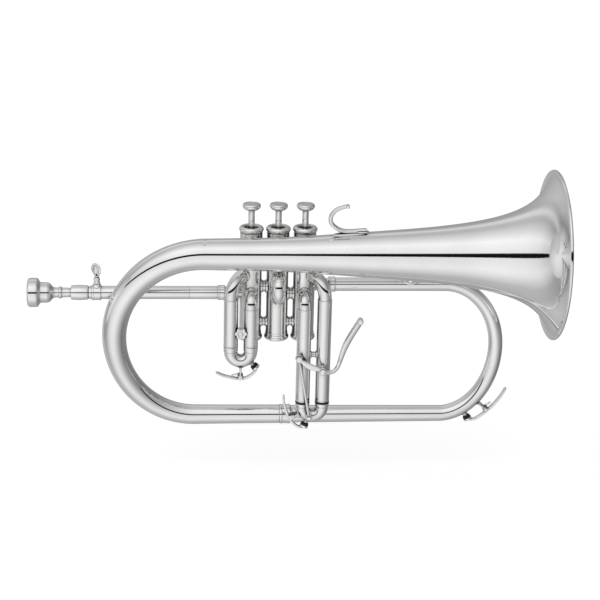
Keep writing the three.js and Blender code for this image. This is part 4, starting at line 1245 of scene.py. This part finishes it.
def trigger_lever():
    """Curved finger bar with a curled tip, hinge eye and the tapered arm that carries the rod's pin."""
    grip = in_plane(LEVER_Y - 1, [(73.4, -16.2), (68.8, -23.6), (64.6, -30.8), (61.2, -37.6), (58.6, -44.5),
                                  (56.9, -50.5)])
    shank = in_plane(LEVER_Y, [(55.9, -56), (53.6, -61.8), (49.6, -65), (45, -65.4), (41, -64.6)])
    tip, bottom = grip[0], shank[0]

    def finger_size(t):
        widening = 1 - min(max((t - 0.35) / 0.4, 0), 1)
        return 1.8 + 1.1 * widening, 1.8 + 0.7 * widening

    finger = bar(Route(smooth_line([*grip, *shank])), finger_size, 40, 2.6, 1.2)
    face_turned = Matrix.Rotation(GRIP_TURN, 4, (tip - bottom).normalized())
    finger = moved(finger, Matrix.Translation(bottom) @ face_turned @ Matrix.Translation(-bottom))
    curl = rod(tip - Y_AXIS * 3.8, tip + Y_AXIS * 3.8, 2.6, 40, 1.2)
    arm_line = in_plane(LEVER_Y, [(42, -64), (37, -62.8), (31.5, -61.2), (26, -58.2), (19.5, -53.5)])

    def arm_size(t):
        return 1.5 + 1.4 * math.sin(math.pi * t) ** 2, 1.2

    arm = bar(Route(smooth_line(arm_line)), arm_size, 32, 4, 0.8)
    eye_side = [[-1.6, 1.75], [-1.6, 3.4], [-1.2, 3.6]]
    eye = turned(at_y(TRIGGER_PIVOT, LEVER_Y), Y_AXIS, mirrored(eye_side), 48, 0.25)
    knob = rod(at_y(TRIGGER_ARM_END, LEVER_Y - 1.5), at_y(TRIGGER_ARM_END, LEVER_Y + 1.4), 2.6, 40, 0.5)
    pin = rod(at_y(TRIGGER_ARM_END, LEVER_Y + 1), at_y(TRIGGER_ARM_END, -25.8), 1.2, 24)
    finger, arm = (fitted(shape, TRIGGER_PIVOT, 1.9, Y_AXIS) for shape in (finger, arm))
    stand_for("trigger_lever", finger, curl, arm, eye, knob, pin)


def trigger_post():
    start = at_y(TRIGGER_PIVOT, -23.8)
    outline = [[0, 0], [0, 4.6], [1.4, 3.8], [2.4, 3.2], [4.8, 3.2], [4.8, 1.4], [8.8, 1.4], [8.8, 2.7],
               [9.7, 2.7], [10, 2.3], [10, 0]]
    stand_for("trigger_post", turned(start, -Y_AXIS, outline, 40, 0.25))


def trigger_rod():
    upper = at_y(TRIGGER_ARM_END, ROD_Y)
    lower = at_y(CROOK_LUG, ROD_Y)
    direction = (lower - upper).normalized()
    link = rod(upper + direction * 2.8, lower - direction * 2.2, 1.15, 28)

    def eye(centre, bore, radius):
        side = [[-1, bore], [-1, radius - 0.3], [-0.7, radius]]
        return turned(centre, Y_AXIS, mirrored(side), 40, 0.2)

    stand_for("trigger_rod", link, eye(upper, 2.2, 3.5), eye(lower, 1.6, 2.8))


# ---- assembly

def build_horn():
    for make in (bell, main_bow, bow_ferrule, lower_branch, mouthpiece, mouthpipe, leadpipe_sleeve,
                 clamp_band, clamp_screw):
        make()
    port_ferrule("leadpipe_ferrule", LEADPIPE_RADIUS, 0, 1)
    port_ferrule("outlet_ferrule", BRANCH_RADII[0], BRANCH_Z, -1)
    bell_pipe_brace()
    bow_brace()
    finger_hook()
    for number in (1, 2, 3):
        for make in (valve_casing, top_cap, bottom_cap, valve_stem, finger_button, piston, valve_spring):
            make(number)
    casing_link("transfer_tube_12", PORT_12_Z, 5.2)
    casing_link("transfer_tube_23", PORT_23_Z, 5.2)
    casing_link("lower_strut_12", STRUT_Z, 4)
    casing_link("lower_strut_23", STRUT_Z, 4)
    stay = Vector((SLIDE_1_MIDDLE.x, SLIDE_Y, STAY_1_Z))
    inner_leg("slide_1_inner_leg", -1, SLIDE_1_BOTTOM, sleeve_stay(stay), lobed_boss(stay))
    outer_leg("slide_1_outer_leg", -1, SLIDE_1_BOTTOM)
    inner_leg("slide_3_inner_leg", 1, SLIDE_3_BOTTOM)
    outer_leg("slide_3_outer_leg", 1, SLIDE_3_BOTTOM)
    for make in (slide_1_crook, slide_2, slide_3_crook):
        make()
    bumper_ring("bumper_ring_inner")
    bumper_ring("bumper_ring_outer")
    stand_for("slide_3_brace", sleeve_stay(centre_of("slide_3_brace")))
    for make in (trigger_lever, trigger_post, trigger_rod):
        make()


# ---- camera, light and floor

VIEW_FORWARD = Vector((0.0707, 0.94, -0.3338)).normalized()
VIEW_UP = Vector((0, 0.3346, 0.9423))
VIEW_TARGET = Vector((0.021, 0, -0.0072))
VIEW_DISTANCE = 1.515


def add_camera():
    data = bpy.data.cameras.new("camera")
    data.lens = 100
    data.sensor_width = 36
    camera = bpy.data.objects.new("camera", data)
    right = VIEW_FORWARD.cross(VIEW_UP).normalized()
    up = right.cross(VIEW_FORWARD).normalized()
    turn = Matrix((right, up, -VIEW_FORWARD)).transposed().to_4x4()
    turn.translation = VIEW_TARGET - VIEW_FORWARD * VIEW_DISTANCE
    camera.matrix_world = turn
    bpy.context.scene.collection.objects.link(camera)
    bpy.context.scene.camera = camera


def grey_ramp(tree, value, stops, limit, unit=1):
    """A grey that changes with a value between -limit and limit."""
    place = remapped(tree, value, -limit * unit, limit * unit, 0, 1)
    ramp = add_node(tree, "ShaderNodeValToRGB", {"Fac": place})
    elements = ramp.color_ramp.elements
    while len(elements) > 1:
        elements.remove(elements[-1])
    for i, (at, grey) in enumerate(stops):
        position = (at + limit) / (2 * limit)
        element = elements[0] if i == 0 else elements.new(position)
        element.position = position
        element.color = (grey, grey, grey, 1)
    return ramp.outputs["Color"]


def math_node(tree, operation, *values):
    return add_node(tree, "ShaderNodeMath", dict(enumerate(values)), operation=operation).outputs[0]


def dot_with(tree, vector, direction):
    inputs = {0: vector, 1: direction}
    return add_node(tree, "ShaderNodeVectorMath", inputs, operation="DOT_PRODUCT").outputs["Value"]


# Brightness of the studio in front of the horn, by degrees up from the camera's side: a dark slit
# just below the middle, a soft panel above it and one below, and a pale strip overhead.
STUDIO = [(-180, 0.4), (-125, 0.45), (-97, 0.5), (-62, 0.83), (-50, 0.88), (-11.2, 0.78), (-10.4, 0.006),
          (2.6, 0.006), (3.4, 0.84), (42, 0.975), (64, 0.75), (92, 0.5), (101, 0.52), (110, 0.68), (117, 0.7),
          (135, 0.36), (150, 0.3), (180, 0.3)]
# The same beyond the ends of the panels.
STUDIO_ENDS = [(-180, 0.76), (-30, 0.74), (0, 0.68), (40, 0.56), (150, 0.56), (180, 0.76)]
PANEL_END = 0.94
# How the light in front falls off to the left (-1) and, further, to the right (1).
ACROSS = [(-1, 1.08), (-0.93, 0.7), (-0.75, 0.88), (-0.5, 0.98), (-0.25, 1.02), (0, 0.96), (0.28, 0.78),
          (0.75, 0.4), (1, 0.3)]
# The room behind the horn, from left to right.
BEHIND = [(-1, 0.8), (-0.88, 0.27), (-0.78, 0.46), (-0.6, 0.54), (-0.2, 0.42), (0.3, 0.3), (1, 0.18)]
BEHIND_FROM, BEHIND_TO = 118, 145  # degrees over which the front gives way to the room behind


def eased_step(tree, value, start, end):
    """Zero at start and one at end, with a smooth change between."""
    inputs = {"Value": value, "From Min": start, "From Max": end}
    return add_node(tree, "ShaderNodeMapRange", inputs, interpolation_type="SMOOTHSTEP").outputs["Result"]


def add_studio():
    """Soft light from large panels, given by direction so that polished metal has something to show."""
    world = bpy.data.worlds.new("studio")
    world.use_nodes = True
    bpy.context.scene.world = world
    tree = world.node_tree
    background = tree.nodes["Background"]
    direction = tree.nodes.new("ShaderNodeTexCoord").outputs["Generated"]
    upward = dot_with(tree, direction, VIEW_UP)
    forward = dot_with(tree, direction, X_AXIS.cross(VIEW_UP))
    sideways = dot_with(tree, direction, X_AXIS)
    angle = math_node(tree, "ARCTAN2", upward, forward)
    degree = math.pi / 180
    outwards = math_node(tree, "ABSOLUTE", sideways)
    beyond = eased_step(tree, outwards, PANEL_END - 0.006, PANEL_END + 0.006)
    panels = grey_ramp(tree, angle, STUDIO, 180, degree)
    ends = grey_ramp(tree, angle, STUDIO_ENDS, 180, degree)
    front = mixed(tree, "MULTIPLY", 1, mixed(tree, "MIX", beyond, panels, ends),
                  grey_ramp(tree, sideways, ACROSS, 1))
    turn = math_node(tree, "ABSOLUTE", angle)
    behind = eased_step(tree, turn, BEHIND_FROM * degree, BEHIND_TO * degree)
    room = mixed(tree, "MIX", behind, front, grey_ramp(tree, sideways, BEHIND, 1))
    tree.links.new(room, background.inputs["Color"])


def add_floor():
    """A plain pale floor that runs on past every view, a little below the horn."""
    radius = 30
    mesh = bpy.data.meshes.new("floor")
    corners = [(radius * math.cos(turn), radius * math.sin(turn), 0) for turn in full_circle(64)]
    mesh.from_pydata(corners, [], [list(range(64))])
    material, tree, surface = shader("pale_floor")
    surface.inputs["Roughness"].default_value = 0.9
    surface.inputs["Emission Color"].default_value = (1, 1, 1, 1)
    surface.inputs["Emission Strength"].default_value = 0.6
    colour = colour_between(tree, noise(tree, 3), (0.78, 0.78, 0.78), (0.8, 0.8, 0.8))
    tree.links.new(colour, surface.inputs["Base Color"])
    mesh.materials.append(material)
    floor = bpy.data.objects.new("floor", mesh)
    floor.location.z = cad_box[0][2] - 0.05
    floor.visible_glossy = False
    bpy.context.scene.collection.objects.link(floor)


add_camera()
add_studio()
add_floor()
build_horn()
bpy.context.scene.view_settings.view_transform = "Standard"
